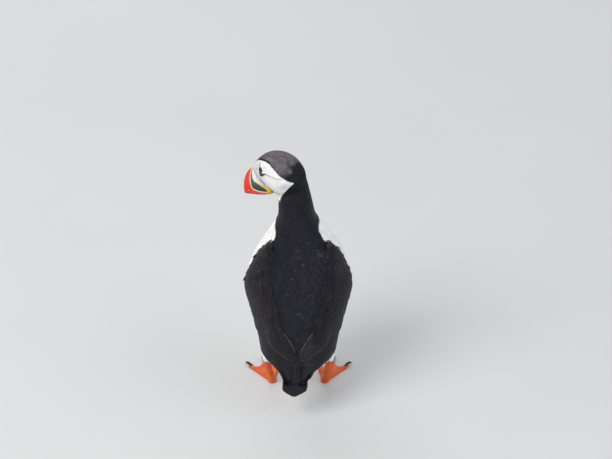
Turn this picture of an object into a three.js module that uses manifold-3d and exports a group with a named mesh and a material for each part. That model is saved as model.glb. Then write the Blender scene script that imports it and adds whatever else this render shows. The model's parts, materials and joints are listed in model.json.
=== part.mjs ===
// Atlantic puffin, standing alert with its head turned to its left.
// Millimetres, +Z up. The bird faces -Y, its left side is +X, and the floor is Z = 0.
// The origin lies on the floor, under the middle of the whole bird's box.

import * as THREE from 'three';
import { mergeVertices } from 'three/addons/utils/BufferGeometryUtils.js';
import Module from 'manifold-3d';

const wasm = await Module();
wasm.setup();

const GAP = 0.35;
const DEG = Math.PI / 180;

// ---------------------------------------------------------------- driving sizes

// The body from the skull to the tip of the tail: at each station a point [y, z] on
// the line of the back, one on the line of the belly, half the width between the
// flanks, and how far the section is carried to the left. The plumage is included.
const BODY = [
  { at: 'skull', back: [-19, 225], belly: [-43, 214], half: 13.9, left: 5.1 },
  { at: 'neck', back: [-8.5, 206], belly: [-45, 197], half: 16.4, left: 3.4 },
  { at: 'collar', back: [-5, 186], belly: [-52, 173], half: 18.6, left: 1.4 },
  { at: 'shoulder', back: [3, 166], belly: [-64, 147], half: 32.6, left: -1.2 },
  { at: 'mantle', back: [13, 149], belly: [-69, 118], half: 45.8, left: -0.8 },
  { at: 'middle', back: [23, 131], belly: [-64, 87], half: 53.6, left: 0.0 },
  { at: 'loin', back: [34, 108], belly: [-44, 57], half: 44.6, left: 0.0 },
  { at: 'hip', back: [43, 86], belly: [-15, 42], half: 34.5, left: 0.0 },
  { at: 'rump', back: [49, 70], belly: [16, 38], half: 27.5, left: 0.3 },
  { at: 'tail root', back: [54, 56], belly: [40, 39], half: 19.5, left: 1.2 },
  { at: 'tail middle', back: [60, 43], belly: [55, 39], half: 14.2, left: 2.6 },
  { at: 'tail low', back: [65.6, 32.5], belly: [63, 30.6], half: 11.8, left: 3.8 },
  { at: 'tail tip', back: [69, 25.6], belly: [67.5, 24.7], half: 8.0, left: 4.6 },
];
const BODY_SIDES = 28;
const NECK_TOP = 0;
const NECK_RINGS = 8;
const TRUNK_RINGS = 22;
const TAIL_RINGS = 8;
const HALF_GAP = 0.012;
const COLLAR_CUT = 2.35;
const TAIL_CUT = 9.1;
const TAIL_TIP = 12;
const BODY_FULLNESS = 2.25;

// The head in its own frame: x forward, y left, z up, from the tip of the bill, with
// the mouth level. Each station has a point [x, z] on the crown line, one on the
// chin line, and half the width.
const HEAD = [
  { at: 'bill root', crown: [-27.5, 20.6], chin: [-46, -11.0], half: 9.0 },
  { at: 'lores', crown: [-33.5, 25.8], chin: [-50.5, -14.3], half: 13.0 },
  { at: 'eye', crown: [-42, 29.5], chin: [-55.5, -16.6], half: 16.3 },
  { at: 'cheek', crown: [-53, 31.3], chin: [-61.5, -17.8], half: 18.2 },
  { at: 'ear', crown: [-63, 29.2], chin: [-68.5, -17.0], half: 18.0 },
  { at: 'nape', crown: [-72, 23.0], chin: [-75.5, -12.0], half: 15.0 },
  { at: 'occiput', crown: [-78, 13.0], chin: [-80, -3.0], half: 8.6 },
  { at: 'end', crown: [-80.2, 8.0], chin: [-80.6, 2.0], half: 3.0 },
];
const HEAD_FULLNESS = 2.2;
const HEAD_SIDES = 20;
const HEAD_RINGS = 14;
const HEAD_TURN = 55.2;
const HEAD_NOD = 32.0;
const BILL_TIP = new THREE.Vector3(53.9, -57.6, 188.9);

// The bill: the ridge of the upper half, the line of the mouth and the keel of the
// lower half, each from the tip to the face, as [x, z].
const RIDGE = [[-0.2, -1.4], [-2.8, 4.6], [-7.0, 10.4], [-12.5, 15.6], [-19, 19.4], [-27.5, 21.8]];
const MOUTH = [[-0.6, -1.8], [-5.5, -0.2], [-13, 1.4], [-21, 1.2], [-32, -1.0], [-44, -4.6]];
const KEEL = [[-2.2, -2.6], [-7, -4.0], [-14, -6.2], [-23, -8.4], [-33, -9.4], [-44, -9.2]];
const BILL_HALF = 7.6;
const BILL_FLARE = 4.2;
const RIDGE_HALF = 1.5;
const MOUTH_GAP = 0.3;

const EYE = { at: [-48.2, 10.8, 18.1], radius: 4.8 };
const EYE_PLATES = {
  upper: { at: [-46.9, 12.0, 24.6], half: [1.7, 1.7, 2.7], slant: 0 },
  lower: { at: [-48.3, 15.5, 14.9], half: [4.6, 1.4, 1.3], slant: 0 },
};
const ROSETTE = { at: [-42.2, 10.9, -4.9], half: [3.0, 2.2, 2.3], slant: 40 };

// A folded wing, laid on the body. At each station along the body: the angle from
// the middle of the back to the wing's upper edge and to its lower edge, in degrees,
// and how far the lower edge stands off the body.
const WING = [
  { station: 3.16, upper: 50, lower: 57, stand: 0 },
  { station: 3.35, upper: 42, lower: 63, stand: 0 },
  { station: 3.8, upper: 37, lower: 68, stand: 0 },
  { station: 4.5, upper: 33, lower: 71, stand: 0 },
  { station: 5.3, upper: 30, lower: 79, stand: 0 },
  { station: 6.2, upper: 29, lower: 92, stand: 1.0 },
  { station: 7.0, upper: 24, lower: 98, stand: 4.4 },
  { station: 7.8, upper: 14, lower: 95, stand: 7.2 },
  { station: 8.5, upper: 5, lower: 84, stand: 6.4 },
  { station: 9.3, upper: 3, lower: 62, stand: 3.4 },
  { station: 9.9, upper: 7, lower: 43, stand: 1.2 },
  { station: 10.2, upper: 14, lower: 32, stand: 0.3 },
];
const WING_RISE = 3.0;
const WING_EDGE = 1.2;
const WING_SUNK = 1.6;

const HEEL = new THREE.Vector3(31, 9, 29.5);
const FOOT = new THREE.Vector3(26.5, 2, 0);
const THIGH_ROOT = new THREE.Vector3(22, -4, 60);
const TOES = [
  { name: 'inner', angle: -11, length: 27 },
  { name: 'middle', angle: 14, length: 37 },
  { name: 'outer', angle: 40, length: 35 },
];
const TOE_HALF = 2.5;
const TOE_HEIGHT = 3.9;
const WEB_HEIGHT = 1.3;
const WEB_SCOOP = 0.2;
const HUB_HEIGHT = 7.0;
const HUB_REACH = 5.2;
const CLAW_LENGTH = 8.0;
const CLAW_SIDES = 6;

// ---------------------------------------------------------------- finishes

const finish = (color, roughness) =>
  new THREE.MeshStandardMaterial({ color, roughness, metalness: 0 });
const BLACK = 0x17171d;
const WHITE = 0xefeeea;
const ORANGE = 0xe2500f;
const RED = 0xd9380f;
const YELLOW = 0xdcb23a;
const HORN = 0x16130f;
const SLATE = 0x4b5560;

// ---------------------------------------------------------------- shape helpers

// A smooth curve through points, read by the number of the point.
function through(points) {
  const curve = new THREE.CatmullRomCurve3(points, false, 'centripetal');
  const last = points.length - 1;
  return (place) => curve.getPoint(Math.min(Math.max(place / last, 0), 1));
}

const sideLine = (pairs) => through(pairs.map(([a, b]) => new THREE.Vector3(0, a, b)));

// Runs of evenly spaced numbers, with both ends.
function steps(from, to, count) {
  return Array.from({ length: count + 1 }, (_, i) => from + (to - from) * i / count);
}

// Evenly spaced angles round a full turn.
const turns = (count) => steps(0, 2 * Math.PI, count).slice(0, -1);

const signedPower = (value, power) => Math.sign(value) * Math.abs(value) ** power;

// Joins rings of points, all with the same count, into one closed skin. The ends are
// closed by fans, and the faces are turned out.
function loft(rings) {
  const around = rings[0].length;
  const points = rings.flat();
  const faces = [];
  for (let i = 0; i < rings.length - 1; i += 1) {
    for (let j = 0; j < around; j += 1) {
      const next = (j + 1) % around;
      const a = i * around + j;
      const b = i * around + next;
      const c = a + around;
      const d = b + around;
      faces.push(a, b, d, a, d, c);
    }
  }
  for (const end of [0, rings.length - 1]) {
    const middle = new THREE.Vector3();
    rings[end].forEach((point) => middle.addScaledVector(point, 1 / around));
    const hub = points.push(middle) - 1;
    for (let j = 0; j < around; j += 1) {
      const a = end * around + j;
      const b = end * around + (j + 1) % around;
      faces.push(...(end === 0 ? [hub, b, a] : [hub, a, b]));
    }
  }
  return facingOut(points, faces);
}

function facingOut(points, faces) {
  let volume = 0;
  for (let i = 0; i < faces.length; i += 3) {
    const [a, b, c] = [points[faces[i]], points[faces[i + 1]], points[faces[i + 2]]];
    volume += a.dot(b.clone().cross(c));
  }
  if (volume < 0) {
    for (let i = 0; i < faces.length; i += 3) {
      [faces[i], faces[i + 1]] = [faces[i + 1], faces[i]];
    }
  }
  const geometry = new THREE.BufferGeometry();
  geometry.setAttribute('position', new THREE.Float32BufferAttribute(
    points.flatMap((point) => point.toArray()), 3));
  geometry.setIndex(faces);
  return mergeVertices(geometry, 1e-4);
}

function solid(geometry) {
  return new wasm.Manifold(new wasm.Mesh({
    numProp: 3,
    vertProperties: new Float32Array(geometry.attributes.position.array),
    triVerts: new Uint32Array(geometry.index.array),
  }));
}

function skin(body) {
  const mesh = body.getMesh();
  const geometry = new THREE.BufferGeometry();
  geometry.setAttribute('position', new THREE.BufferAttribute(
    new Float32Array(mesh.vertProperties), 3));
  geometry.setIndex(Array.from(mesh.triVerts));
  return geometry;
}

function cut(geometry, ...tools) {
  return skin(tools.reduce((body, tool) => body.subtract(solid(tool)), solid(geometry)));
}

// The same shape on the other side of the bird.
function mirrored(geometry) {
  const copy = geometry.clone();
  const { array } = copy.attributes.position;
  for (let i = 0; i < array.length; i += 3) array[i] = -array[i];
  const faces = Array.from(copy.index.array);
  for (let i = 0; i < faces.length; i += 3) [faces[i], faces[i + 1]] = [faces[i + 1], faces[i]];
  copy.setIndex(faces);
  return copy;
}

// ---------------------------------------------------------------- body

const backLine = sideLine(BODY.map(({ back }) => back));
const bellyLine = sideLine(BODY.map(({ belly }) => belly));
const bodyGirth = through(BODY.map(({ half, left }) => new THREE.Vector3(half, left, 0)));

// A point of the body's surface: place is the number of the station, and angle runs
// from the middle of the back, over the left flank, to the belly. grow moves it out.
function bodyPoint(place, angle, grow = 0) {
  const back = backLine(place);
  const belly = bellyLine(place);
  const girth = bodyGirth(place);
  const middle = back.clone().add(belly).multiplyScalar(0.5);
  const upward = back.clone().sub(middle);
  const depth = upward.length();
  upward.divideScalar(depth);
  const power = 2 / BODY_FULLNESS;
  const across = signedPower(Math.sin(angle), power) * (girth.x + grow);
  const along = signedPower(Math.cos(angle), power) * (depth + grow);
  middle.addScaledVector(upward, along);
  middle.x += girth.y + across;
  return middle;
}

function bodyLength(from, to, count, grow = 0) {
  return loft(steps(from, to, count).map((place) =>
    turns(BODY_SIDES).map((angle) => bodyPoint(place, angle, grow))));
}

// ---------------------------------------------------------------- head

const crownLine = sideLine(HEAD.map(({ crown }) => crown));
const chinLine = sideLine(HEAD.map(({ chin }) => chin));
const headGirth = through(HEAD.map(({ half }) => new THREE.Vector3(half, 0, 0)));

function headPoint(place, angle, grow = 0) {
  const crown = crownLine(place);
  const chin = chinLine(place);
  const middle = crown.clone().add(chin).multiplyScalar(0.5);
  const upward = crown.clone().sub(middle);
  const depth = upward.length();
  upward.divideScalar(depth);
  const power = 2 / HEAD_FULLNESS;
  const across = signedPower(Math.sin(angle), power) * (headGirth(place).x + grow);
  middle.addScaledVector(upward, signedPower(Math.cos(angle), power) * (depth + grow));
  return new THREE.Vector3(middle.y, across, middle.z);
}

function headShape(grow = 0) {
  const rings = steps(0, HEAD.length - 1, HEAD_RINGS).map((place) =>
    turns(HEAD_SIDES).map((angle) => headPoint(place, angle, grow)));
  const front = rings[0].map((point) => point.clone().setX(point.x + grow));
  return loft([front, ...rings.slice(1)]);
}

// Half of the bill between an edge line (ridge or keel) and the mouth: narrow at the
// edge, full near the mouth, and drawn together towards the tip.
function billHalf(edge, side, grow = 0) {
  const edgeLine = sideLine(edge);
  const mouthLine = sideLine(MOUTH);
  const last = MOUTH.length - 1;
  const rings = steps(0, last, 10).map((place) => {
    const rim = edgeLine(place);
    const lip = mouthLine(place);
    const down = lip.clone().sub(rim);
    const height = down.length();
    down.divideScalar(height);
    const near = -grow;
    const far = height - MOUTH_GAP / 2 + grow;
    const share = place / last;
    const flare = BILL_FLARE * Math.max(0, (share - 0.55) / 0.45) ** 1.6;
    const half = BILL_HALF * Math.min(1, share ** 0.62 + 0.06) + flare + grow;
    const ridge = Math.min(half, RIDGE_HALF * (0.45 + 0.55 * share) + grow);
    const profile = steps(0, 1, 6).map((drop) => ({
      fall: near + (far - near) * drop,
      out: ridge + (half - ridge) * Math.sin(Math.min(1, drop * side) * Math.PI / 2),
    }));
    const left = profile.map(({ fall, out }) => new THREE.Vector3(
      rim.y + down.y * fall, out, rim.z + down.z * fall));
    const right = left.map((point) => new THREE.Vector3(point.x, -point.y, point.z));
    return [...left, ...right.reverse()];
  });
  return loft(rings);
}

function ball(radius, detail = 2) {
  const geometry = new THREE.IcosahedronGeometry(radius, detail);
  geometry.deleteAttribute('normal');
  geometry.deleteAttribute('uv');
  return mergeVertices(geometry, 1e-4);
}

// A cushion of given half lengths, turned in the plane of the cheek.
function cushion(half, slant, at) {
  return ball(1, 1).scale(...half).rotateY(slant * DEG).translate(...at);
}

const headPose = new THREE.Matrix4();
{
  const turn = HEAD_TURN * DEG;
  const nod = HEAD_NOD * DEG;
  const forward = new THREE.Vector3(
    Math.sin(turn) * Math.cos(nod), -Math.cos(turn) * Math.cos(nod), -Math.sin(nod));
  const left = new THREE.Vector3(Math.cos(turn), Math.sin(turn), 0);
  const up = forward.clone().cross(left);
  headPose.makeBasis(forward, left, up).setPosition(BILL_TIP);
}

// ---------------------------------------------------------------- wings

const wingEdges = through(WING.map(
  ({ station, upper, lower }) => new THREE.Vector3(station, upper * DEG, lower * DEG)));
const wingStands = through(WING.map(({ stand }) => new THREE.Vector3(stand, 0, 0)));

// The wing is a shallow shell over the body: rows run along it, and each row crosses
// it on the outside and comes back just under the body's surface.
function wingShape(side) {
  const rings = steps(0, WING.length - 1, 18).map((row) => {
    const { x: station, y: upper, z: lower } = wingEdges(row);
    const share = row / (WING.length - 1);
    const rise = WING_RISE * Math.sin(Math.PI * Math.min(1, 0.22 + share)) ** 0.5
      * (share > 0.78 ? 1 - 1.6 * (share - 0.78) : 1);
    const across = steps(-1, 1, 8);
    const outside = across.map((place) => {
      const angle = upper + (lower - upper) * (place + 1) / 2;
      const off = wingStands(row).x * ((place + 1) / 2) ** 1.5;
      const lift = WING_EDGE + rise * Math.sqrt(Math.max(0, 1 - place * place)) + off;
      return bodyPoint(station, side * angle, lift);
    });
    const inside = across.map((place) =>
      bodyPoint(station, side * (upper + (lower - upper) * (place + 1) / 2), -WING_SUNK));
    return [...outside, ...inside.reverse()];
  });
  return loft(rings);
}

// ---------------------------------------------------------------- legs

// A round limb through places, each with half its width across and fore and aft.
function limb(places, around) {
  const line = through(places.map(({ at }) => at));
  const girth = through(places.map(({ wide, deep }) => new THREE.Vector3(wide, deep, 0)));
  const last = places.length - 1;
  const rings = steps(0, last, last * 2).map((place) => {
    const middle = line(place);
    const size = girth(place);
    const along = line(Math.min(place + 0.05, last)).sub(line(Math.max(place - 0.05, 0))).normalize();
    const sideways = new THREE.Vector3(1, 0, 0);
    sideways.addScaledVector(along, -along.x).normalize();
    const ahead = along.clone().cross(sideways);
    return turns(around).map((angle) => middle.clone()
      .addScaledVector(sideways, size.x * Math.cos(angle))
      .addScaledVector(ahead, size.y * Math.sin(angle)));
  });
  return loft(rings);
}

const footDirection = (angle) => new THREE.Vector3(Math.sin(angle), -Math.cos(angle), 0);

// How far the foot reaches from its hub in a direction: between two toes the web hangs
// back in a shallow scoop, and beyond the outer two the side of the toe ends it.
function footReach(angle) {
  for (let i = 0; i < TOES.length - 1; i += 1) {
    const [a, b] = [TOES[i], TOES[i + 1]];
    const share = (angle - a.angle * DEG) / ((b.angle - a.angle) * DEG);
    if (share >= 0 && share <= 1) {
      const scoop = 1 - WEB_SCOOP * Math.sin(Math.PI * share) ** 0.8;
      return (a.length + (b.length - a.length) * share) * scoop;
    }
  }
  const first = TOES[0];
  const last = TOES[TOES.length - 1];
  const toe = angle < first.angle * DEG || angle > Math.PI ? first : last;
  const off = Math.abs(Math.atan2(
    Math.sin(angle - toe.angle * DEG), Math.cos(angle - toe.angle * DEG)));
  if (off > Math.PI / 2) return HUB_REACH * 0.8;
  return Math.max(Math.min(toe.length, TOE_HALF / Math.sin(off)), HUB_REACH * 0.8);
}

function footHeight(x, y) {
  const from = Math.hypot(x, y);
  let height = WEB_HEIGHT + (HUB_HEIGHT - WEB_HEIGHT) * Math.exp(-((from / HUB_REACH) ** 2));
  TOES.forEach(({ angle, length }) => {
    const ahead = footDirection(angle * DEG);
    const along = x * ahead.x + y * ahead.y;
    const off = Math.abs(x * ahead.y - y * ahead.x) / TOE_HALF;
    const fade = 1 - 0.3 * Math.max(0, along) / length;
    if (along > 0) height = Math.max(height, TOE_HEIGHT * fade * Math.sqrt(Math.max(0, 1 - off * off)));
  });
  return height;
}

function footShape() {
  const angles = [];
  TOES.forEach(({ angle }, i) => {
    const next = TOES[i + 1];
    if (next) angles.push(...steps(angle * DEG, next.angle * DEG, 12).slice(0, -1));
  });
  const first = TOES[0].angle * DEG;
  const last = TOES[TOES.length - 1].angle * DEG;
  const around = [0, 4, 8, 14, 24, 44, 80].map((turn) => last + turn * DEG);
  const behind = steps(last + 110 * DEG, first + 250 * DEG, 5);
  const back = [80, 44, 24, 14, 8, 4].map((turn) => first + (360 - turn) * DEG);
  angles.push(...around, ...behind, ...back);
  const shares = [0.12, 0.3, 0.55, 0.8, 1];
  const top = shares.map((share) => angles.map((angle) => {
    const wrapped = angle > Math.PI ? angle - 2 * Math.PI : angle;
    const spot = footDirection(angle).multiplyScalar(footReach(wrapped) * share);
    spot.z = share === 1 ? Math.min(footHeight(spot.x, spot.y), TOE_HEIGHT * 0.7)
      : footHeight(spot.x, spot.y);
    return spot;
  }));
  const sole = angles.map((angle, i) => top[shares.length - 1][i].clone().setZ(0));
  return loft([...top, sole]).translate(...FOOT.toArray());
}

function clawShape({ angle, length }) {
  const ahead = footDirection(angle * DEG);
  const places = [[-2.0, 2.3, 1.5], [1.0, 2.6, 1.6], [4.0, 2.5, 1.25], [CLAW_LENGTH, 1.1, 0.4]]
    .map(([along, height, half]) => ({
      at: ahead.clone().multiplyScalar(length + along).add(FOOT).setZ(height),
      half,
    }));
  const line = through(places.map(({ at }) => at));
  const girth = through(places.map(({ half }) => new THREE.Vector3(half, 0, 0)));
  const side = new THREE.Vector3(-ahead.y, ahead.x, 0);
  return loft(steps(0, places.length - 1, 5).map((place) =>
    turns(CLAW_SIDES).map((turn) => line(place)
      .addScaledVector(side, girth(place).x * Math.cos(turn))
      .setZ(Math.max(0.15, line(place).z + girth(place).x * Math.sin(turn))))));
}

// ---------------------------------------------------------------- assembly

const puffin = new THREE.Group();
const headGroup = new THREE.Group();
headPose.decompose(headGroup.position, headGroup.quaternion, headGroup.scale);
puffin.add(headGroup);

function addPart(parent, name, geometry, material) {
  const mesh = new THREE.Mesh(geometry, material);
  mesh.name = name;
  parent.add(mesh);
}

// The body is parted at the collar and at the root of the tail.
const neck = bodyLength(NECK_TOP, COLLAR_CUT - HALF_GAP, NECK_RINGS);
const trunk = bodyLength(COLLAR_CUT + HALF_GAP, TAIL_CUT - HALF_GAP, TRUNK_RINGS);
const tail = bodyLength(TAIL_CUT + HALF_GAP, TAIL_TIP, TAIL_RINGS);
const trunkRoom = bodyLength(COLLAR_CUT, TAIL_CUT + HALF_GAP, TRUNK_RINGS, GAP);
const tailRoom = bodyLength(TAIL_CUT - HALF_GAP, TAIL_TIP, TAIL_RINGS, GAP);

const upperBill = billHalf(RIDGE, 1.5);
const lowerBill = billHalf(KEEL, 1.25);
const billRooms = [[RIDGE, 1.5], [KEEL, 1.25]].flatMap(([edge, side]) =>
  [0, -GAP].map((back) => billHalf(edge, side, GAP).translate(back, 0, 0)));

const eyeAt = (side) => [EYE.at[0], side * EYE.at[1], EYE.at[2]];
const eyeBall = (side, grow = 0) => ball(EYE.radius + grow).translate(...eyeAt(side));
const rosetteAt = (side) => [ROSETTE.at[0], side * ROSETTE.at[1], ROSETTE.at[2]];

const rosetteRoom = (side) =>
  cushion(ROSETTE.half.map((size) => size + GAP), ROSETTE.slant, rosetteAt(side));
const head = cut(headShape(), ...billRooms, eyeBall(1, GAP), eyeBall(-1, GAP),
  rosetteRoom(1), rosetteRoom(-1));

addPart(headGroup, 'head', head, finish(WHITE, 0.85));
addPart(headGroup, 'bill_upper', upperBill, finish(RED, 0.4));
addPart(headGroup, 'bill_lower', lowerBill, finish(RED, 0.4));
for (const [side, name] of [[1, 'left'], [-1, 'right']]) {
  addPart(headGroup, `eye_${name}`, eyeBall(side), finish(HORN, 0.1));
  const rosette = cut(cushion(ROSETTE.half, ROSETTE.slant, rosetteAt(side)), ...billRooms);
  addPart(headGroup, `rosette_${name}`, rosette, finish(YELLOW, 0.6));
  for (const [where, plate] of Object.entries(EYE_PLATES)) {
    const horn = cut(cushion(plate.half, plate.slant, [plate.at[0], side * plate.at[1], plate.at[2]]),
      headShape(GAP), eyeBall(side, GAP));
    addPart(headGroup, `eye_plate_${where}_${name}`, horn, finish(SLATE, 0.5));
  }
}

const headRooms = [headShape(GAP), ...billRooms, rosetteRoom(1), rosetteRoom(-1)]
  .map((room) => room.clone().applyMatrix4(headPose));
addPart(puffin, 'neck', cut(neck, ...headRooms), finish(BLACK, 0.85));
addPart(puffin, 'trunk', trunk, finish(WHITE, 0.85));
addPart(puffin, 'tail', tail, finish(BLACK, 0.8));

const thigh = limb([
  { at: THIGH_ROOT, wide: 15, deep: 17 },
  { at: THIGH_ROOT.clone().lerp(HEEL, 0.5), wide: 10.5, deep: 12 },
  { at: HEEL.clone().add(new THREE.Vector3(-0.6, -0.8, 4)), wide: 5.6, deep: 6.4 },
], 16);
const shank = limb([
  { at: HEEL.clone().add(new THREE.Vector3(-0.5, -0.7, 3.2)), wide: 3.6, deep: 4.4 },
  { at: HEEL, wide: 3.8, deep: 4.8 },
  { at: HEEL.clone().lerp(FOOT, 0.45), wide: 2.9, deep: 3.7 },
  { at: FOOT.clone().setZ(3.0), wide: 3.3, deep: 3.9 },
], 10);
const shankRoom = limb([
  { at: HEEL.clone().add(new THREE.Vector3(-0.5, -0.7, 3.2 + GAP)), wide: 3.95, deep: 4.75 },
  { at: HEEL, wide: 4.15, deep: 5.15 },
  { at: HEEL.clone().lerp(FOOT, 0.45), wide: 3.25, deep: 4.05 },
], 10);
const foot = footShape();
const shankCut = cut(shank, foot.clone().translate(0, 0, GAP));

// A blunt block round the end of a toe, which parts the claw from the toe.
function footRoom({ angle, length }) {
  const ahead = footDirection(angle * DEG);
  const end = FOOT.clone().addScaledVector(ahead, length + GAP);
  const start = FOOT.clone().addScaledVector(ahead, length - 4);
  const side = new THREE.Vector3(-ahead.y, ahead.x, 0);
  return loft([start, end].map((middle) =>
    [[-1, -1], [1, -1], [1, 1], [-1, 1]].map(([across, up]) => middle.clone()
      .addScaledVector(side, across * 4).setZ(up > 0 ? 6 : -1))));
}

for (const [side, name] of [[1, 'left'], [-1, 'right']]) {
  const here = (geometry) => (side > 0 ? geometry : mirrored(geometry));
  addPart(puffin, `wing_${name}`, cut(wingShape(side), trunkRoom, tailRoom), finish(BLACK, 0.75));
  addPart(puffin, `thigh_${name}`, cut(here(thigh), trunkRoom, here(shankRoom)), finish(WHITE, 0.85));
  addPart(puffin, `shank_${name}`, here(shankCut), finish(ORANGE, 0.5));
  addPart(puffin, `foot_${name}`, here(foot), finish(ORANGE, 0.5));
  TOES.forEach((toe) => {
    const claw = cut(clawShape(toe), footRoom(toe));
    addPart(puffin, `claw_${toe.name}_${name}`, here(claw), finish(HORN, 0.3));
  });
}

export default puffin;
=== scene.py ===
# %% [markdown]
# # A standing Atlantic puffin, life-size
#
# A puffin is a small, upright seabird: a round black and white body on two webbed feet, with a
# tall, coloured bill. This notebook dresses a ready frame of plain solids in three layers, from
# the inside out: one skin, a coat of many small feathers over it, and the hard parts (bill,
# eyes, claws). Every shape is a formula worked out with numpy as whole arrays, and each formula
# is told in words where it is used. Lengths are in metres, +Z is up, the bird faces -Y and its
# own left side is +X.

# %% Load the frame
import json
import math
from types import SimpleNamespace

import bpy
import numpy as np
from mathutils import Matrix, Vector
from mathutils.bvhtree import BVHTree

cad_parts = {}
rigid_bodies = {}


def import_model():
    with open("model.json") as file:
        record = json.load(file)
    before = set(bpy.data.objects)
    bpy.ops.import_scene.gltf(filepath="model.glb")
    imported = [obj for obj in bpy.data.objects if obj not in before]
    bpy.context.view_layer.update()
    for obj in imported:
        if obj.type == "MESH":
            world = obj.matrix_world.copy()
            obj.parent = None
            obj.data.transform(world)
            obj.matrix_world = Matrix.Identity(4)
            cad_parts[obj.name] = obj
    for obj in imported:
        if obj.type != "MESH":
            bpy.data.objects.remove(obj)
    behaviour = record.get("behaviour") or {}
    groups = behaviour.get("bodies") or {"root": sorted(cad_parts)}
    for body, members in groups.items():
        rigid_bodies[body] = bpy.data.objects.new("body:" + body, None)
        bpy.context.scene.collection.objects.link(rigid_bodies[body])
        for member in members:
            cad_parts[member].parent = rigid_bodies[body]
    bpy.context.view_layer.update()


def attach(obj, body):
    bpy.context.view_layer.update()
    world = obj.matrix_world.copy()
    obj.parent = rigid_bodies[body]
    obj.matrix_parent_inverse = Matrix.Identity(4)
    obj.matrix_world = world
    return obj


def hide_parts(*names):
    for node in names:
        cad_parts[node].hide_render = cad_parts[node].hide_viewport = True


for leftover in list(bpy.data.objects):
    bpy.data.objects.remove(leftover)
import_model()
MM = 0.001
TAU = 2 * np.pi

# %% [markdown]
# ## Lines, forms and how to read them
#
# A bird's body is hard to describe as boxes and balls, but easy as a row of cross-sections. At
# each *station* we say where the back is, where the belly is, and how wide the body is. A smooth
# line through the stations fills in the rest. We could sculpt the shape by hand instead, but a
# written form can also be read backwards: for any point in space it tells the station and the
# angle round the body. That is what lets the skin and every feather share one set of markings.

# %% A smooth line through points
def smooth_line(points, places):
    """A centripetal Catmull-Rom line: each stretch between two points is a cubic whose slopes
    come from the neighbours, weighted by the square root of the distances between them."""
    points = np.asarray(points, float)
    places = np.asarray(places, float)
    ghosts = np.vstack([2 * points[0] - points[1], points, 2 * points[-1] - points[-2]])
    start = np.clip(np.floor(places).astype(int), 0, len(points) - 2)
    share = (places - start)[..., None]
    a, b, c, d = (ghosts[start + step] for step in range(4))
    ab, bc, cd = (np.linalg.norm(q - p, axis=-1, keepdims=True) ** 0.5
                  for p, q in ((a, b), (b, c), (c, d)))
    leave = ((b - a) / ab - (c - a) / (ab + bc) + (c - b) / bc) * bc
    arrive = ((c - b) / bc - (d - b) / (bc + cd) + (d - c) / cd) * bc
    return (b + leave * share + (3 * (c - b) - 2 * leave - arrive) * share ** 2
            + (2 * (b - c) + leave + arrive) * share ** 3)


def signed_power(value, power):
    """The size of a number raised to a power, with its sign kept."""
    return np.sign(value) * np.abs(value) ** power


def unit(vectors):
    """Vectors scaled to length one."""
    return vectors / np.maximum(np.linalg.norm(vectors, axis=-1, keepdims=True), 1e-12)


def along_line(value, knots):
    """Straight steps between (place, number) pairs."""
    places, numbers = np.array(knots, float).T
    return np.interp(value, places, numbers)


def soft_step(value, start, end):
    """A smooth rise from 0 at start to 1 at end."""
    share = np.clip((value - start) / (end - start), 0, 1)
    return share * share * (3 - 2 * share)


# %% Forms: stations, points and the way back
def make_form(stations, fullness, axes, origin):
    """Stations are rows of upper point, lower point, half width and sideways shift, in mm.
    Axes are the directions of across, of the first and of the second number of a point."""
    table = np.array(stations, float) * MM
    return SimpleNamespace(upper=table[:, 0:2], lower=table[:, 2:4], girth=table[:, 4:6],
                           fullness=fullness, axes=np.array(axes, float),
                           origin=np.array(origin, float), last=len(table) - 1)


def form_rings(form, place):
    """The middle of the section at a place, the direction to its top, and its half sizes."""
    lines = (form.upper, form.lower, form.girth)
    upper, lower, girth = (smooth_line(line, place) for line in lines)
    middle = (upper + lower) / 2
    rise = upper - middle
    depth = np.linalg.norm(rise, axis=-1, keepdims=True)
    return middle, rise / depth, depth[..., 0], girth[..., 0], girth[..., 1]


def form_point(form, place, angle, grow=0.0):
    """A point of the form: the section is a superellipse, so across is the sine and up the
    cosine of the angle, each to the power of two over the fullness."""
    place, angle, grow = np.broadcast_arrays(*(np.asarray(x, float) for x in (place, angle, grow)))
    middle, rise, depth, half, shift = form_rings(form, place)
    power = 2 / form.fullness
    across = signed_power(np.sin(angle), power) * (half + grow) + shift
    up = signed_power(np.cos(angle), power) * (depth + grow)
    flat = middle + rise * up[..., None]
    return form.origin + (across[..., None] * form.axes[0] + flat[..., :1] * form.axes[1]
                          + flat[..., 1:] * form.axes[2])


def form_place(form, points):
    """The way back, from points to place, angle and radius (1 on the form's surface): of many
    sections the one whose plane passes nearest is taken, and its superellipse is undone."""
    samples = np.linspace(0, form.last, form.last * 24 + 1)
    middle, rise, depth, half, shift = form_rings(form, samples)
    ahead = np.stack([rise[:, 1], -rise[:, 0]], -1)
    ahead *= np.sign((ahead * np.gradient(middle, axis=0)).sum(-1, keepdims=True))
    found = []
    for some in np.array_split(points, max(1, len(points) // 20000)):
        local = (some - form.origin) @ form.axes.T
        flat = local[:, None, 1:] - middle
        beyond = (flat * ahead).sum(-1)
        up = (flat * rise).sum(-1)
        pick = (np.abs(beyond) + 2 * np.maximum(0, np.abs(up) - 1.5 * depth)).argmin(1)
        across = (local[:, 0] - shift[pick]) / half[pick]
        up = up[np.arange(len(some)), pick] / depth[pick]
        full = form.fullness
        radius = (np.abs(across) ** full + np.abs(up) ** full) ** (1 / full)
        angle = np.arctan2(signed_power(across, full / 2), signed_power(up, full / 2))
        found.append(np.stack([samples[pick], angle, radius], -1))
    return np.vstack(found).T


# %% [markdown]
# The body runs from inside the skull, down the neck, over the back and the breast, to the tip of
# the tail. The head has stations of its own in a tilted frame, because the bird looks over its
# left shoulder: x points forward, y left and z up from the tip of the bill. Both forms are the
# outline *with* the plumage, so the skin lies a few millimetres inside them.

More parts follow.
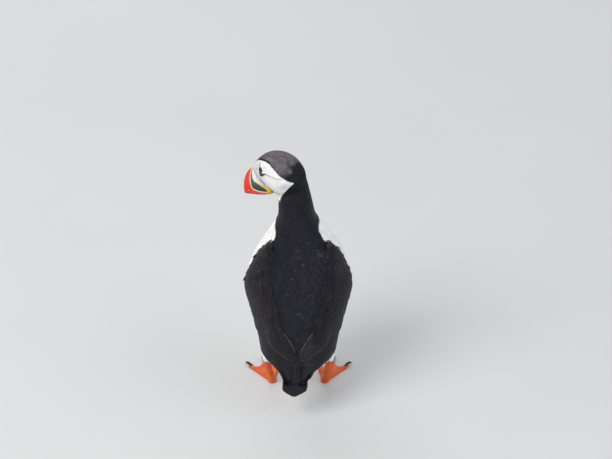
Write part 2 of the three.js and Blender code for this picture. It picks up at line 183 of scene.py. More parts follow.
# %% Body and head forms
BODY = make_form([
    (-19, 225, -43, 214, 13.9, 5.1),
    (-8.5, 206, -45, 197, 16.4, 3.4),
    (-5, 186, -52, 173, 18.6, 1.4),
    (3, 166, -64, 147, 32.6, -1.2),
    (13, 149, -69, 118, 45.8, -0.8),
    (23, 131, -64, 87, 53.6, 0.0),
    (34, 108, -44, 57, 44.6, 0.0),
    (43, 86, -15, 42, 34.5, 0.0),
    (49, 70, 16, 38, 27.5, 0.3),
    (54, 56, 40, 39, 19.5, 1.2),
    (60, 43, 55, 39, 14.2, 2.6),
    (65.6, 32.5, 63, 30.6, 11.8, 3.8),
    (69, 25.6, 67.5, 24.7, 8.0, 4.6),
], 2.25, np.eye(3), (0, 0, 0))

HEAD_TURN, HEAD_NOD = math.radians(55.2), math.radians(32.0)
BILL_TIP = np.array([53.9, -57.6, 188.9]) * MM
FORWARD = np.array([math.sin(HEAD_TURN) * math.cos(HEAD_NOD),
                    -math.cos(HEAD_TURN) * math.cos(HEAD_NOD), -math.sin(HEAD_NOD)])
LEFT = np.array([math.cos(HEAD_TURN), math.sin(HEAD_TURN), 0.0])
UPWARD = np.cross(FORWARD, LEFT)
HEAD = make_form([
    (-27.5, 20.6, -46, -11.0, 9.0, 0),
    (-33.5, 25.8, -50.5, -14.3, 13.0, 0),
    (-42, 29.5, -55.5, -16.6, 16.3, 0),
    (-53, 31.3, -61.5, -17.8, 18.2, 0),
    (-63, 29.2, -68.5, -17.0, 18.0, 0),
    (-72, 23.0, -75.5, -12.0, 15.0, 0),
    (-78, 13.0, -80, -3.0, 8.6, 0),
    (-80.2, 8.0, -80.6, 2.0, 3.0, 0),
], 2.2, [LEFT, FORWARD, UPWARD], BILL_TIP)


def from_head(points):
    """Points x forward, y left, z up in the head's own frame, in mm, as points in space."""
    x, y, z = np.split(np.asarray(points, float) * MM, 3, axis=-1)
    return BILL_TIP + (x * FORWARD + y * LEFT + z * UPWARD)


def to_head(points):
    """Points in space in the head's own frame, in mm."""
    return (points - BILL_TIP) @ np.array([FORWARD, LEFT, UPWARD]).T / MM


crown = form_point(HEAD, 3.0, 0.0)
print("crown at", np.round(crown / MM, 1), "mm")

# %% [markdown]
# ## Meshes from arrays
#
# Most pieces start as a grid of points. Rows of points become rings, rings become a tube, and a
# hub point closes each end. Writing the faces as arithmetic on the point numbers does the whole
# mesh at once.

# %% Mesh helpers
def add_piece(name, points, faces, materials, slot=None, smooth=True):
    """Puts points and faces (triangles, or quads) into a new object; with a slot it rides on the body."""
    mesh = bpy.data.meshes.new(name)
    faces = np.asarray(faces, np.int32)
    corners = faces.shape[1]
    mesh.vertices.add(len(points))
    mesh.vertices.foreach_set("co", np.ascontiguousarray(points, np.float32).ravel())
    mesh.loops.add(faces.size)
    mesh.loops.foreach_set("vertex_index", faces.ravel())
    mesh.polygons.add(len(faces))
    mesh.polygons.foreach_set("loop_start", np.arange(0, faces.size, corners, dtype=np.int32))
    mesh.polygons.foreach_set("use_smooth", np.full(len(faces), smooth))
    mesh.update(calc_edges=True)
    piece = bpy.data.objects.new(name, mesh)
    bpy.context.scene.collection.objects.link(piece)
    for material in materials:
        mesh.materials.append(material)
    if slot:
        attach(piece, "root")
    return piece


def tube_faces(rings, around, start=0):
    """Triangles of a closed tube of rings, with a hub point at each end after the rings."""
    i, j = np.meshgrid(np.arange(rings - 1), np.arange(around), indexing="ij")
    a = i * around + j
    b = i * around + (j + 1) % around
    walls = np.stack([a, b, b + around, a, b + around, a + around], -1).reshape(-1, 3)
    j = np.arange(around)
    first, last = rings * around, rings * around + 1
    end = (rings - 1) * around
    near = np.stack([np.full(around, first), (j + 1) % around, j], -1)
    far = np.stack([np.full(around, last), end + j, end + (j + 1) % around], -1)
    return np.vstack([walls, near, far]) + start


def outward(points, faces):
    """The triangles of a closed surface, turned to face out: the volume they sum to is positive."""
    a, b, c = (points[faces[:, k]] for k in range(3))
    if np.einsum("ij,ij->i", a, np.cross(b, c)).sum() < 0:
        faces = faces[:, ::-1]
    return faces


def closed_tube(grid):
    """Points and outward triangles of a tube given as rings x around x 3."""
    rings, around = grid.shape[:2]
    points = np.vstack([grid.reshape(-1, 3), grid[0].mean(0), grid[-1].mean(0)])
    return points, outward(points, tube_faces(rings, around))


def joined(*parts):
    """Several (points, faces) as one."""
    starts = np.cumsum([0] + [len(points) for points, _ in parts])
    return (np.vstack([points for points, _ in parts]),
            np.vstack([faces + start for (_, faces), start in zip(parts, starts)]))


def add_colours(piece, colours, name="coat"):
    """Stores one linear colour for each point of a piece."""
    layer = piece.data.color_attributes.new(name, "FLOAT_COLOR", "POINT")
    rgba = np.ones((len(piece.data.vertices), 4), np.float32)
    rgba[:, :3] = colours
    layer.data.foreach_set("color", rgba.ravel())


def add_map(piece, name, places):
    """Stores a UV map from one (u, v) for each point."""
    corner = np.empty(len(piece.data.loops), np.int32)
    piece.data.loops.foreach_get("vertex_index", corner)
    layer = piece.data.uv_layers.new(name=name)
    layer.data.foreach_set("uv", np.ascontiguousarray(places[corner], np.float32).ravel())


def mesh_points(piece):
    """The points of a piece as an array."""
    points = np.empty(len(piece.data.vertices) * 3, np.float32)
    piece.data.vertices.foreach_get("co", points)
    return points.reshape(-1, 3).astype(float)

# %% [markdown]
# ## Markings
#
# A puffin is black above and white below, with a black collar, a grey-black cap and a white face.
# Colours could be painted on, but a painted image needs a flattening of every feather. Instead
# one function answers "what colour is the bird here?" for any points in space. It reads the
# forms backwards and compares the angle with border lines. The folded wings have a table of
# borders too, because inside them the plumage is always dark. Skin and feathers both ask it.

# %% Colours and border lines
def linear(*levels):
    """Screen colours from 0 to 255 as the linear colours that light works with."""
    share = np.array(levels, float) / 255
    return np.where(share <= 0.04045, share / 12.92, ((share + 0.055) / 1.055) ** 2.4)


PLUMAGE = {
    "back": linear(24, 24, 34),
    "neck": linear(21, 21, 31),
    "collar": linear(22, 21, 29),
    "crown": linear(104, 96, 104),
    "crown_edge": linear(24, 22, 28),
    "white": linear(243, 243, 241),
    "cheek_shade": linear(196, 197, 202),
    # Painted shade: the grey of the crease behind the eye stands for the shadow in its groove.
    "crease": linear(120, 112, 108),
    # Brownish worn feathers, partly painted sheen on the black plumage.
    "wear_and_painted_light": linear(50, 43, 44),
    "bleached": linear(92, 84, 92),
    "quill": linear(31, 29, 35),
    "quill_edge": linear(136, 112, 92),
    "tail": linear(28, 28, 36),
}
# Angle from the middle of the back, in degrees, at which the black ends, by body station.
BLACK_TO = [(0, 200), (1.95, 200), (2.08, 150), (2.2, 104), (2.3, 82), (2.4, 67), (2.6, 54),
            (2.8, 49), (3.0, 47), (3.3, 54), (3.8, 62), (4.6, 66), (5.4, 74), (6.2, 90),
            (7.0, 96), (7.8, 92), (8.5, 82), (9.1, 80), (10.2, 82), (10.5, 200), (12, 200)]
# How far the middle of the black is turned toward the bird's left, in degrees, by body station.
BLACK_SHIFT = [(2.0, 0), (2.2, 12), (2.4, 12), (2.6, 6), (2.8, 2), (3.3, 1), (3.6, 0)]
# Angle from the top of the head at which the cap ends, by head station, and where the face ends.
CAP_TO = [(0, 7), (1.2, 12), (2.04, 20), (2.62, 30), (3.17, 38), (3.79, 48), (4.12, 60),
          (4.38, 73), (4.58, 86), (4.88, 95), (5.25, 114), (5.46, 131)]
FACE_END = 5.46
# In the head's own frame, in mm: the face's lower border as height by x, half the width of the
# black chin by x, the height under which the chin lies, and the crease behind the eye as x, z.
FACE_LOW = [(-80, -2.4), (-77.3, -3.6), (-72.8, -5.5), (-64.5, -8.9), (-58, -11.4), (-53, -14.6),
            (-49.5, -17.5), (-46, -20.0), (-30, -22.0)]
CHIN_HALF = [(-60, 1.0), (-54, 3.5), (-48, 6.0), (-44, 7.5), (-30, 7.0)]
CHIN_TOP = -6
CREASE = [(-52.8, 15.4), (-55.0, 14.4), (-58.5, 12.2), (-62.8, 9.0), (-67.0, 6.4), (-71.5, 4.6)]
CREASE_HALF = 0.7
# Head plumage reaches this many radii out from the head form, and back to this body station.
HEAD_REACH, HEAD_UNTIL = 1.6, 1.4


def near_line(points, line):
    """Distance in mm of (x, z) points from a broken line, and how far along it they are."""
    line = np.asarray(line, float)
    best = np.full(len(points), 1e9)
    where = np.zeros(len(points))
    for number, (start, end) in enumerate(zip(line[:-1], line[1:])):
        along = end - start
        share = np.clip((points - start) @ along / (along @ along), 0, 1)
        away = np.linalg.norm(points - start - share[:, None] * along, axis=1)
        where = np.where(away < best, number + share, where)
        best = np.minimum(best, away)
    return best, where / (len(line) - 1)


def ripple(points, size, seed):
    """A soft, repeatable unevenness from -1 to 1: a sum of six waves in fixed directions."""
    waves = np.random.default_rng(seed)
    total = np.zeros(len(points))
    for _ in range(6):
        direction = unit(waves.normal(size=3)) * TAU / size * waves.uniform(0.6, 1.6)
        total += np.sin(points @ direction + waves.uniform(0, TAU))
    return total / 3.2


def mix(first, second, share):
    """From one colour to another by a share for each point, for arrays of any shape."""
    return first + (second - first) * np.asarray(share)[..., None]


# The folded wing, from its bend to its tip: body station, the angles of its upper and its lower
# border in degrees, and how far its lower edge stands off the body in mm.
WING = np.array([
    (3.16, 50, 57, 0), (3.35, 42, 63, 0), (3.8, 37, 68, 0), (4.5, 33, 71, 0), (5.3, 30, 79, 0),
    (6.2, 29, 92, 1.0), (7.0, 24, 98, 4.4), (7.8, 14, 95, 7.2), (8.5, 5, 84, 6.4),
    (9.3, 3, 62, 3.4), (9.9, 7, 43, 1.2), (10.2, 14, 32, 0.3),
]) * (1, math.pi / 180, math.pi / 180, MM)
WING_BORDER = math.radians(1.5)
WING_LAST = len(WING) - 1


def within_wing(place, angle):
    """Which places on the body lie under a folded wing: between its upper and lower border."""
    row = np.interp(place, WING[:, 0], np.arange(len(WING)))
    upper, lower = np.moveaxis(smooth_line(WING[:, 1:3], row), -1, 0)
    inside = (angle > upper + WING_BORDER) & (angle < lower)
    return inside & (place > WING[0, 0] - 0.08) & (place < WING[-1, 0])


def body_marking(points, place, angle):
    """The colour of body plumage, and whether it is white: it is black while the angle from the
    back is under the border, and on all of a folded wing."""
    winged = within_wing(place, np.abs(angle))
    turn = np.degrees(angle) - along_line(place, BLACK_SHIFT)
    turn = np.abs(turn) + 1.2 * ripple(points, 14 * MM, 1)
    white = (turn > along_line(place, BLACK_TO)) & ~winged
    # Patches of brownish wear over the back, partly painted sheen of light on the black feathers.
    wear_and_painted_light = 0.32 * soft_step(ripple(points, 21 * MM, 2), 0.35, 1.0)
    wear_and_painted_light = wear_and_painted_light * soft_step(place, 2.8, 4.0) * soft_step(-place, -7.5, -6.0)
    colour = mix(PLUMAGE["neck"], PLUMAGE["back"], soft_step(place, 1.0, 3.4))
    colour = mix(colour, PLUMAGE["wear_and_painted_light"], wear_and_painted_light)
    return mix(colour, PLUMAGE["white"], white.astype(float)), white


def head_marking(points):
    """The colour of head plumage, whether it is the white face, and the radius on the head form:
    the face lies between the cap and the throat, with a soft shade and a painted crease shadow on it."""
    place, turn, radius = form_place(HEAD, points)
    turn = np.degrees(np.abs(turn))
    cap = along_line(place, CAP_TO)
    x, y, z = to_head(points).T
    chin = (np.abs(y) < along_line(x, CHIN_HALF)) & (z < CHIN_TOP)
    face = (turn > cap) & (z > along_line(x, FACE_LOW)) & ~chin & (place < FACE_END)
    above = soft_step(place, 0.0, 0.9) * soft_step(-turn, -95, -70)
    dark = mix(PLUMAGE["collar"], PLUMAGE["crown"], above * soft_step(-place, -6.95, -6.2))
    edge = (1 - soft_step(cap - turn, 4.5, 10)) * (turn <= cap)
    dark = mix(dark, PLUMAGE["crown_edge"], edge)
    away, along = near_line(np.stack([x, z], -1), CREASE)
    shade = np.exp(-((x + 69) ** 2 / 50 + (z + 3.5) ** 2 / 12))
    pale = mix(PLUMAGE["white"], PLUMAGE["cheek_shade"], 0.8 * shade)
    # Painted shade: a grey line along the crease behind the eye stands for the shadow in its groove,
    # fainter toward its end.
    crease = np.exp(-(away / CREASE_HALF) ** 2) * (1 - 0.5 * along) * 0.8
    pale = mix(pale, PLUMAGE["crease"], crease)
    return np.where(face[:, None], pale, dark), face, radius


def coat_colour(points):
    """The colour of the plumage at points in space, and whether it is white."""
    place, angle, _ = form_place(BODY, points)
    colour, white = body_marking(points, place, angle)
    head, face, radius = head_marking(points)
    owned = (radius < HEAD_REACH) & (place < HEAD_UNTIL)
    return np.where(owned[:, None], head, colour), np.where(owned, face, white)


print("colour of the crown", np.round(coat_colour(crown[None])[0][0], 3))

# %% [markdown]
# ## One skin
#
# Under its coat a bird is one unbroken skin, so head, neck, trunk, wings, thighs and tail must
# not show where the frame parts them. Each part is lofted a coat's depth inside the outline, the
# lofts are thrown together, and a voxel remesh keeps only the outer surface of the heap. A few
# rounds of smoothing then melt the places where two lofts met.

# %% Wings and limbs
WING_RISE, WING_EDGE = 3.0 * MM, 1.2 * MM

HEEL = np.array([31, 9, 29.5]) * MM
FOOT = np.array([26.5, 2, 0]) * MM
THIGH_ROOT = np.array([22, -4, 60]) * MM
TOES = [("inner", math.radians(-11), 27 * MM), ("middle", math.radians(14), 37 * MM),
        ("outer", math.radians(40), 35 * MM)]
TOE_HALF, TOE_HEIGHT, WEB_HEIGHT, WEB_SCOOP = 2.5 * MM, 3.9 * MM, 1.3 * MM, 0.2
HUB_HEIGHT, HUB_REACH = 7.0 * MM, 5.2 * MM


def wing_point(side, row, across, lift):
    """A point of the folded wing. Row runs from the bend of the wing to its tip, across from -1
    on the back to 1 on the flank, and lift is the height above the body's own surface."""
    row, across, lift = np.broadcast_arrays(*(np.asarray(x, float) for x in (row, across, lift)))
    borders = smooth_line(WING[:, :3], np.clip(row, 0, WING_LAST))
    station, upper, lower = np.moveaxis(borders, -1, 0)
    return form_point(BODY, station, side * (upper + (lower - upper) * (across + 1) / 2), lift)


def wing_lift(row, across):
    """The height of the wing's outline: an edge plus a half ellipse, lower at both ends, plus
    what its lower edge stands off the body."""
    row, across = np.broadcast_arrays(np.asarray(row, float), np.asarray(across, float))
    share = row / WING_LAST
    stand = np.interp(row, np.arange(len(WING)), WING[:, 3]) * ((across + 1) / 2) ** 1.5
    rise = WING_RISE * np.sin(np.pi * np.minimum(1, 0.22 + share)) ** 0.5
    rise = rise * np.where(share > 0.78, 1 - 1.6 * (share - 0.78), 1)
    return WING_EDGE + rise * np.sqrt(np.maximum(0, 1 - across ** 2)) + stand


def limb(places, around, rings, bumps=None):
    """A round limb through (point, half width, half depth) places. Each ring is an ellipse
    square to the line, and bumps may add to its radius by share along and turn."""
    line = np.array([point for point, _, _ in places])
    sizes = np.array([(wide, deep) for _, wide, deep in places]) * MM
    at = np.linspace(0, len(places) - 1, rings)
    middle, size = smooth_line(line, at), smooth_line(sizes, at)
    along = unit(np.gradient(middle, axis=0))
    sideways = unit(np.array([1.0, 0, 0]) - along * along[:, :1])
    ahead = np.cross(along, sideways)
    turn = np.arange(around) / around * TAU
    grow = 0 if bumps is None else bumps(at[:, None] / at[-1], turn[None, :])
    wide = (size[:, :1] * np.cos(turn) + grow * np.cos(turn))[..., None]
    deep = (size[:, 1:] * np.sin(turn) + grow * np.sin(turn))[..., None]
    return middle[:, None] + wide * sideways[:, None] + deep * ahead[:, None]


# %% The skin of the body
# How deep the skin lies under the outline, in mm, by body station and by head station.
COAT_DEPTH = [(0, 0.7), (0.7, 1.4), (1.5, 1.9), (2.4, 2.3), (3.2, 3.0), (8, 3.0), (9, 2.0),
              (10, 1.0), (12, 0.7)]
HEAD_DEPTH = [(0, 0.7), (2, 0.7), (4, 0.8), (5.5, 1.3), (7, 1.6)]
SKIN_VOXEL, SKIN_ROUNDS = 1.35 * MM, 7


def loft(form, start, end, rings, around, depth):
    """A closed tube of sections from start to end, a depth of coat inside the form."""
    place = np.linspace(start, end, rings)[:, None]
    turn = np.arange(around) / around * TAU
    return closed_tube(form_point(form, place, turn, -along_line(place, depth) * MM))


def wing_core(side):
    """A shallow shell inside the wing's outline: each row goes out over it and back under it."""
    row = np.linspace(0.25, WING_LAST - 1.2, 60)[:, None]
    across = np.linspace(-0.96, 0.96, 15)
    outside = wing_point(side, row, across, wing_lift(row, across) - 1.7 * MM)
    inside = wing_point(side, row, across[::-1], -4.5 * MM)
    return closed_tube(np.concatenate([outside, inside], 1))


def mirrored(points, side):
    """The left half's points, or their mirror image on the right."""
    return points * np.array([side, 1, 1])


def thigh_core(side):
    """The thigh under its feathers, from inside the belly down to just above the heel."""
    places = [(THIGH_ROOT, 13.5, 15.5), ((THIGH_ROOT + HEEL) / 2, 8.8, 10.2),
              (HEEL + np.array([-0.4, -0.6, 4.6]) * MM, 4.3, 5.0)]
    return closed_tube(mirrored(limb(places, 32, 30), side))


def applied(piece):
    """The piece's mesh with its modifiers worked in."""
    graph = bpy.context.evaluated_depsgraph_get()
    mesh = bpy.data.meshes.new_from_object(piece.evaluated_get(graph))
    piece.modifiers.clear()
    piece.data = mesh
    return piece


parts = [loft(BODY, 0.05, 10.6, 170, 96, COAT_DEPTH), loft(HEAD, 0.04, 6.96, 70, 72, HEAD_DEPTH)]
for side in (1, -1):
    parts += [wing_core(side), thigh_core(side)]
skin = add_piece("skin", *joined(*parts), [])
remesh = skin.modifiers.new("shell", "REMESH")
remesh.mode = "VOXEL"
remesh.voxel_size = SKIN_VOXEL
soften = skin.modifiers.new("soften", "SMOOTH")
soften.factor, soften.iterations = 0.5, SKIN_ROUNDS
applied(skin)
print("body skin", len(skin.data.polygons), "faces")

# %% [markdown]
# The legs come out of the coat bare. A puffin's shank is covered in small round scales with a
# row of broader ones in front, and each of its three toes carries a row of cross scales. The web
# between them is thin and finely creased. One height formula over the plan of the foot makes all
# of this: ridges along the toes, bumps across them, and a thin sheet in between.

# %% Shank and webbed foot
def heading(angle):
    """The direction on the floor at an angle outward from straight ahead."""
    return np.stack([np.sin(angle), -np.cos(angle)], -1)


def foot_reach(angle):
    """How far the foot reaches: between two toes the web hangs back in a shallow scoop, and
    beyond the outer two the side of the toe ends it."""
    (_, inner, inner_length), _, (_, outer, outer_length) = TOES
    reach = np.full(angle.shape, HUB_REACH * 0.8)
    for toe, length in ((inner, inner_length), (outer, outer_length)):
        off = np.abs(np.arctan2(np.sin(angle - toe), np.cos(angle - toe)))
        side = np.minimum(length, TOE_HALF / np.maximum(np.sin(off), 1e-6))
        outside = (off < np.pi / 2) & ((angle < inner) | (angle > outer))
        reach = np.where(outside, np.maximum(side, reach), reach)
    for (_, a, near), (_, b, far) in zip(TOES[:-1], TOES[1:]):
        share = (angle - a) / (b - a)
        between = (share >= 0) & (share <= 1)
        scoop = 1 - WEB_SCOOP * np.sin(np.pi * np.clip(share, 0, 1)) ** 0.8
        reach = np.where(between, (near + (far - near) * share) * scoop, reach)
    return reach


def foot_height(x, y):
    """The height over the plan of the foot: the hub is a bell curve, each toe a half round
    ridge with swellings at its joints and ripples for its scales, and the web is what is left."""
    out = np.hypot(x, y)
    crease = 0.07 * np.sin(np.arctan2(x, -y) * 60) + 0.05 * np.sin(out / MM * 2.6)
    height = WEB_HEIGHT * (0.86 + crease * soft_step(out, 4 * MM, 9 * MM))
    hub = WEB_HEIGHT + (HUB_HEIGHT - WEB_HEIGHT) * np.exp(-(out / HUB_REACH) ** 2)
    height = np.maximum(height, hub)
    for number, (_, angle, length) in enumerate(TOES):
        ahead = heading(np.array(angle))
        along = x * ahead[0] + y * ahead[1]
        off = np.abs(x * ahead[1] - y * ahead[0]) / TOE_HALF
        joints = 0.07 * np.cos(along / length * TAU * (number + 2)) ** 3
        scales = 0.055 * (1 - np.abs(np.sin(along / MM * np.pi / 1.7))) ** 0.7
        fade = (1 - 0.3 * np.maximum(0, along) / length) * (0.93 + joints - scales)
        ridge = TOE_HEIGHT * fade * np.sqrt(np.maximum(0, 1 - off ** 2))
        height = np.where(along > 0, np.maximum(height, ridge), height)
    return height


def foot_surface():
    """The foot as a fan of rings round its hub, closed by a flat sole."""
    inner, outer = TOES[0][1], TOES[-1][1]
    front = np.linspace(inner, outer, 118, endpoint=False)
    turn = np.radians([0, 2, 4, 6, 9, 13, 18, 26, 38, 55, 80])
    back = np.linspace(outer + math.radians(100), inner + math.radians(260), 12)
    angle = np.concatenate([front, outer + turn, back, (inner + TAU - turn)[:0:-1]])
    wrapped = np.where(angle > np.pi, angle - TAU, angle)
    share = np.concatenate([np.linspace(0.05, 0.94, 42), [0.975, 1.0]])[:, None]
    plan = heading(angle) * (foot_reach(wrapped) * share)[..., None]
    height = foot_height(plan[..., 0], plan[..., 1])
    height[-1] = np.minimum(height[-1], TOE_HEIGHT * 0.55)
    top = np.concatenate([plan, height[..., None]], -1)
    rim = top[-1:] * (1, 1, 0.3)
    sole = top[-1:] * (0.985, 0.985, 0)
    return np.concatenate([top, rim, sole]) + FOOT


def shank_bumps(share, turn):
    """Scales on the shank: a brick pattern of domes, and broad cross scales on its front."""
    rows = share * 22
    shift = np.floor(rows) % 2 * 0.5
    dome = np.abs(np.sin(np.pi * rows) * np.sin(np.pi * (turn / TAU * 16 + shift))) ** 0.5
    front = soft_step(-np.cos(turn + np.pi / 2), 0.55, 0.8)
    broad = np.abs(np.sin(np.pi * share * 15)) ** 0.4
    return (0.26 * dome * (1 - front) + 0.3 * broad * front - 0.2) * MM * soft_step(share, 0, 0.1)


def leg(side):
    """One shank and one foot as two closed surfaces that overlap at the hub."""
    places = [(HEEL + np.array([-0.6, -0.9, 9]) * MM, 3.4, 4.2), (HEEL, 3.8, 4.8),
              (HEEL + (FOOT - HEEL) * 0.45, 2.9, 3.7), (FOOT + np.array([0, 0, 3.0]) * MM, 3.3, 3.9)]
    shank = closed_tube(mirrored(limb(places, 56, 92, shank_bumps), side))
    return shank, closed_tube(mirrored(foot_surface(), side))


def merged(base, others):
    """One closed surface from several that overlap, by boolean union."""
    for other in others:
        union = base.modifiers.new("union", "BOOLEAN")
        union.operation, union.solver, union.object = "UNION", "MANIFOLD", other
        applied(base)
        bpy.data.objects.remove(other)
    return base


legs = [add_piece("leg", *surface, []) for side in (1, -1) for surface in leg(side)]
merged(skin, legs)
print("whole skin", len(skin.data.polygons), "faces,", len(skin.data.vertices), "points")

# %% [markdown]
# ## What plumage looks like close up
#
# Each vane is combed by hundreds of barbs that leave the shaft at a slant. They are too fine for
# mesh, so the material draws them as bump: a wave over each blade's own map. The colour comes
# from the points, varied by two sizes of noise, so that worn and fresh feathers lie mixed.

# %% Material helpers
def new_material(name):
    """An empty node material with its shader and output."""
    material = bpy.data.materials.new(name)
    material.use_nodes = True
    tree = material.node_tree
    tree.nodes.clear()
    shader = tree.nodes.new("ShaderNodeBsdfPrincipled")
    output = tree.nodes.new("ShaderNodeOutputMaterial")
    tree.links.new(shader.outputs["BSDF"], output.inputs["Surface"])
    return material, tree, shader


def node(tree, kind, inputs=None, **settings):
    """A node with its settings, its input numbers, and links for inputs that are sockets."""
    made = tree.nodes.new("ShaderNode" + kind)
    for name, value in settings.items():
        setattr(made, name, value)
    for name, value in (inputs or {}).items():
        if isinstance(value, bpy.types.NodeSocket):
            tree.links.new(value, made.inputs[name])
        else:
            made.inputs[name].default_value = value
    return made


def noise(tree, scale, detail=3.0, rough=0.5):
    """Noise over the piece's own coordinates, scale in waves per metre."""
    where = node(tree, "TexCoord").outputs["Object"]
    return node(tree, "TexNoise", {"Vector": where, "Scale": scale, "Detail": detail,
                                   "Roughness": rough}).outputs["Fac"]


def ranged(tree, value, low, high, to_low, to_high):
    """A value carried from one range to another."""
    return node(tree, "MapRange", {"Value": value, "From Min": low, "From Max": high,
                                   "To Min": to_low, "To Max": to_high}).outputs["Result"]


def maths(tree, operation, first, second=0.0):
    """One sum of two values."""
    return node(tree, "Math", {0: first, 1: second}, operation=operation).outputs[0]


def blended(tree, kind, share, first, second):
    """Two colours blended."""
    made = node(tree, "Mix", data_type="RGBA", blend_type=kind)
    for socket, value in ((0, share), (6, first), (7, second)):
        if isinstance(value, bpy.types.NodeSocket):
            tree.links.new(value, made.inputs[socket])
        else:
            made.inputs[socket].default_value = value
    return made.outputs[2]


def grey(level):
    """A grey as red, green, blue and alpha."""
    return (level, level, level, 1)


def point_coloured(tree, shader, amount):
    """The base colour of a finish: the colour of the points times an amount."""
    colour = node(tree, "Attribute", attribute_name="coat").outputs["Color"]
    level = node(tree, "CombineColor", {"Red": amount, "Green": amount, "Blue": amount})
    tinted = blended(tree, "MULTIPLY", 1.0, colour, level.outputs["Color"])
    tree.links.new(tinted, shader.inputs["Base Color"])


def bumped(tree, shader, height, strength, distance):
    """Relief of a finish: a height that only shades, with its depth in metres."""
    bump = node(tree, "Bump", {"Height": height, "Strength": strength, "Distance": distance})
    tree.links.new(bump.outputs["Normal"], shader.inputs["Normal"])


def roughened(tree, shader, scale, low, high):
    """Roughness of a finish: it follows a noise between a low and a high value."""
    rough = ranged(tree, noise(tree, scale), 0.3, 0.7, low, high)
    tree.links.new(rough, shader.inputs["Roughness"])


# %% Plumage
BARB_DEPTH = 0.12 * MM


def plumage(name, barbs, strength, roughness, mottle):
    """Vaned feathers: colour from the points times two noises, bump from a wave that slants away
    from the shaft, and roughness that follows a noise."""
    material, tree, shader = new_material(name)
    patches = ranged(tree, noise(tree, 130, 4, 0.6), 0.3, 0.7, 1 - mottle, 1 + mottle)
    fleck = mottle * 0.8
    flecks = ranged(tree, noise(tree, 900, 2, 0.6), 0.25, 0.75, 1 - fleck, 1 + fleck)
    point_coloured(tree, shader, maths(tree, "MULTIPLY", patches, flecks))
    own = node(tree, "SeparateXYZ", {"Vector": node(tree, "UVMap", uv_map="blade").outputs["UV"]})
    off = maths(tree, "ABSOLUTE", maths(tree, "SUBTRACT", own.outputs["X"], 0.5))
    slant = maths(tree, "ADD", own.outputs["Y"], maths(tree, "MULTIPLY", off, -0.55))
    wave = maths(tree, "SINE", maths(tree, "MULTIPLY", slant, barbs))
    shaft = ranged(tree, off, 0.0, 0.05, 1.4, 0.0)
    height = maths(tree, "ADD", wave, shaft)
    height = maths(tree, "ADD", height, ranged(tree, noise(tree, 2600, 2), 0, 1, -0.6, 0.6))
    bumped(tree, shader, height, strength, BARB_DEPTH)
    roughened(tree, shader, 420, roughness - 0.08, roughness + 0.08)
    shader.inputs["Specular IOR Level"].default_value = 0.22
    return material


# Each finish: waves of barbs over a blade, their strength, the roughness and the mottling.
DARK_PLUMAGE = plumage("dark plumage", 150, 0.55, 0.52, 0.30)
WHITE_PLUMAGE = plumage("white plumage", 120, 0.35, 0.75, 0.04)
FACE_PLUMAGE = plumage("face plumage", 60, 0.3, 0.7, 0.04)
CROWN_PLUMAGE = plumage("crown plumage", 60, 0.5, 0.6, 0.55)
QUILL_PLUMAGE = plumage("quill feathers", 420, 0.6, 0.42, 0.20)


def down_skin():
    """The skin under the coat: the same colours, with a fuzz of fine bumps."""
    material, tree, shader = new_material("downy skin")
    fuzz = noise(tree, 1500, 4, 0.7)
    point_coloured(tree, shader, ranged(tree, fuzz, 0.3, 0.7, 0.85, 1.0))
    bumped(tree, shader, fuzz, 0.6, 0.6 * MM)
    roughened(tree, shader, 300, 0.8, 0.95)
    return material


def leg_skin():
    """Orange scaly skin: cells for the scales, darker in their joints, over two oranges that
    run into each other."""
    material, tree, shader = new_material("orange leg skin")
    where = node(tree, "TexCoord").outputs["Object"]
    cells = node(tree, "TexVoronoi", {"Vector": where, "Scale": 950, "Randomness": 0.75},
                 feature="DISTANCE_TO_EDGE").outputs["Distance"]
    joint = ranged(tree, cells, 0.0, 0.12, 1.0, 0.0)
    tone = node(tree, "ValToRGB", {"Fac": noise(tree, 110, 4, 0.6)})
    for stop, position, colour in zip(tone.color_ramp.elements, (0.3, 0.72),
                                      (linear(214, 62, 14), linear(243, 122, 22))):
        stop.position = position
        stop.color = (*colour, 1)
    darker = blended(tree, "MULTIPLY", maths(tree, "MULTIPLY", joint, 0.55), tone.outputs["Color"],
                     (*linear(150, 80, 60), 1))
    tree.links.new(darker, shader.inputs["Base Color"])
    grain = maths(tree, "MULTIPLY", noise(tree, 3200, 2), 0.35)
    height = maths(tree, "ADD", ranged(tree, cells, 0, 0.2, 0, 1), grain)
    bumped(tree, shader, height, 0.7, 0.2 * MM)
    roughened(tree, shader, 500, 0.34, 0.52)
    return material


DOWN, LEG_SKIN = down_skin(), leg_skin()
print("finishes:", [finish.name for finish in (DARK_PLUMAGE, WHITE_PLUMAGE, FACE_PLUMAGE,
                                               CROWN_PLUMAGE, QUILL_PLUMAGE, DOWN, LEG_SKIN)])

# %% [markdown]
# The skin takes two finishes: down where feathers grow, scales where it is bare. The border is a
# height on the shank, hidden under the last thigh feathers.

# %% Finish the skin
# The legs are bare under this height, and in front of this place, which leaves the tail out.
BARE_BELOW, BARE_UNTIL = 34.5 * MM, 30 * MM


def finish_skin():
    """Gives each point its marking and each face its finish by where it lies."""
    points = mesh_points(skin)
    colours, _ = coat_colour(points)
    add_colours(skin, colours)
    skin.data.materials.clear()
    skin.data.materials.append(DOWN)
    skin.data.materials.append(LEG_SKIN)
    centres = np.empty(len(skin.data.polygons) * 3, np.float32)
    skin.data.polygons.foreach_get("center", centres)
    centres = centres.reshape(-1, 3)
    bare = (centres[:, 2] < BARE_BELOW) & (centres[:, 1] < BARE_UNTIL)
    skin.data.polygons.foreach_set("material_index", bare.astype(np.int32))
    skin.data.polygons.foreach_set("use_smooth", np.ones(len(centres), bool))
    skin.data.update()
    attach(skin, "root")
    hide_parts("head", "neck", "trunk", "tail", "wing_left", "wing_right", "thigh_left",
                "thigh_right", "shank_left", "shank_right", "foot_left", "foot_right")
    print("bare faces", int(bare.sum()), "of", len(bare))


finish_skin()

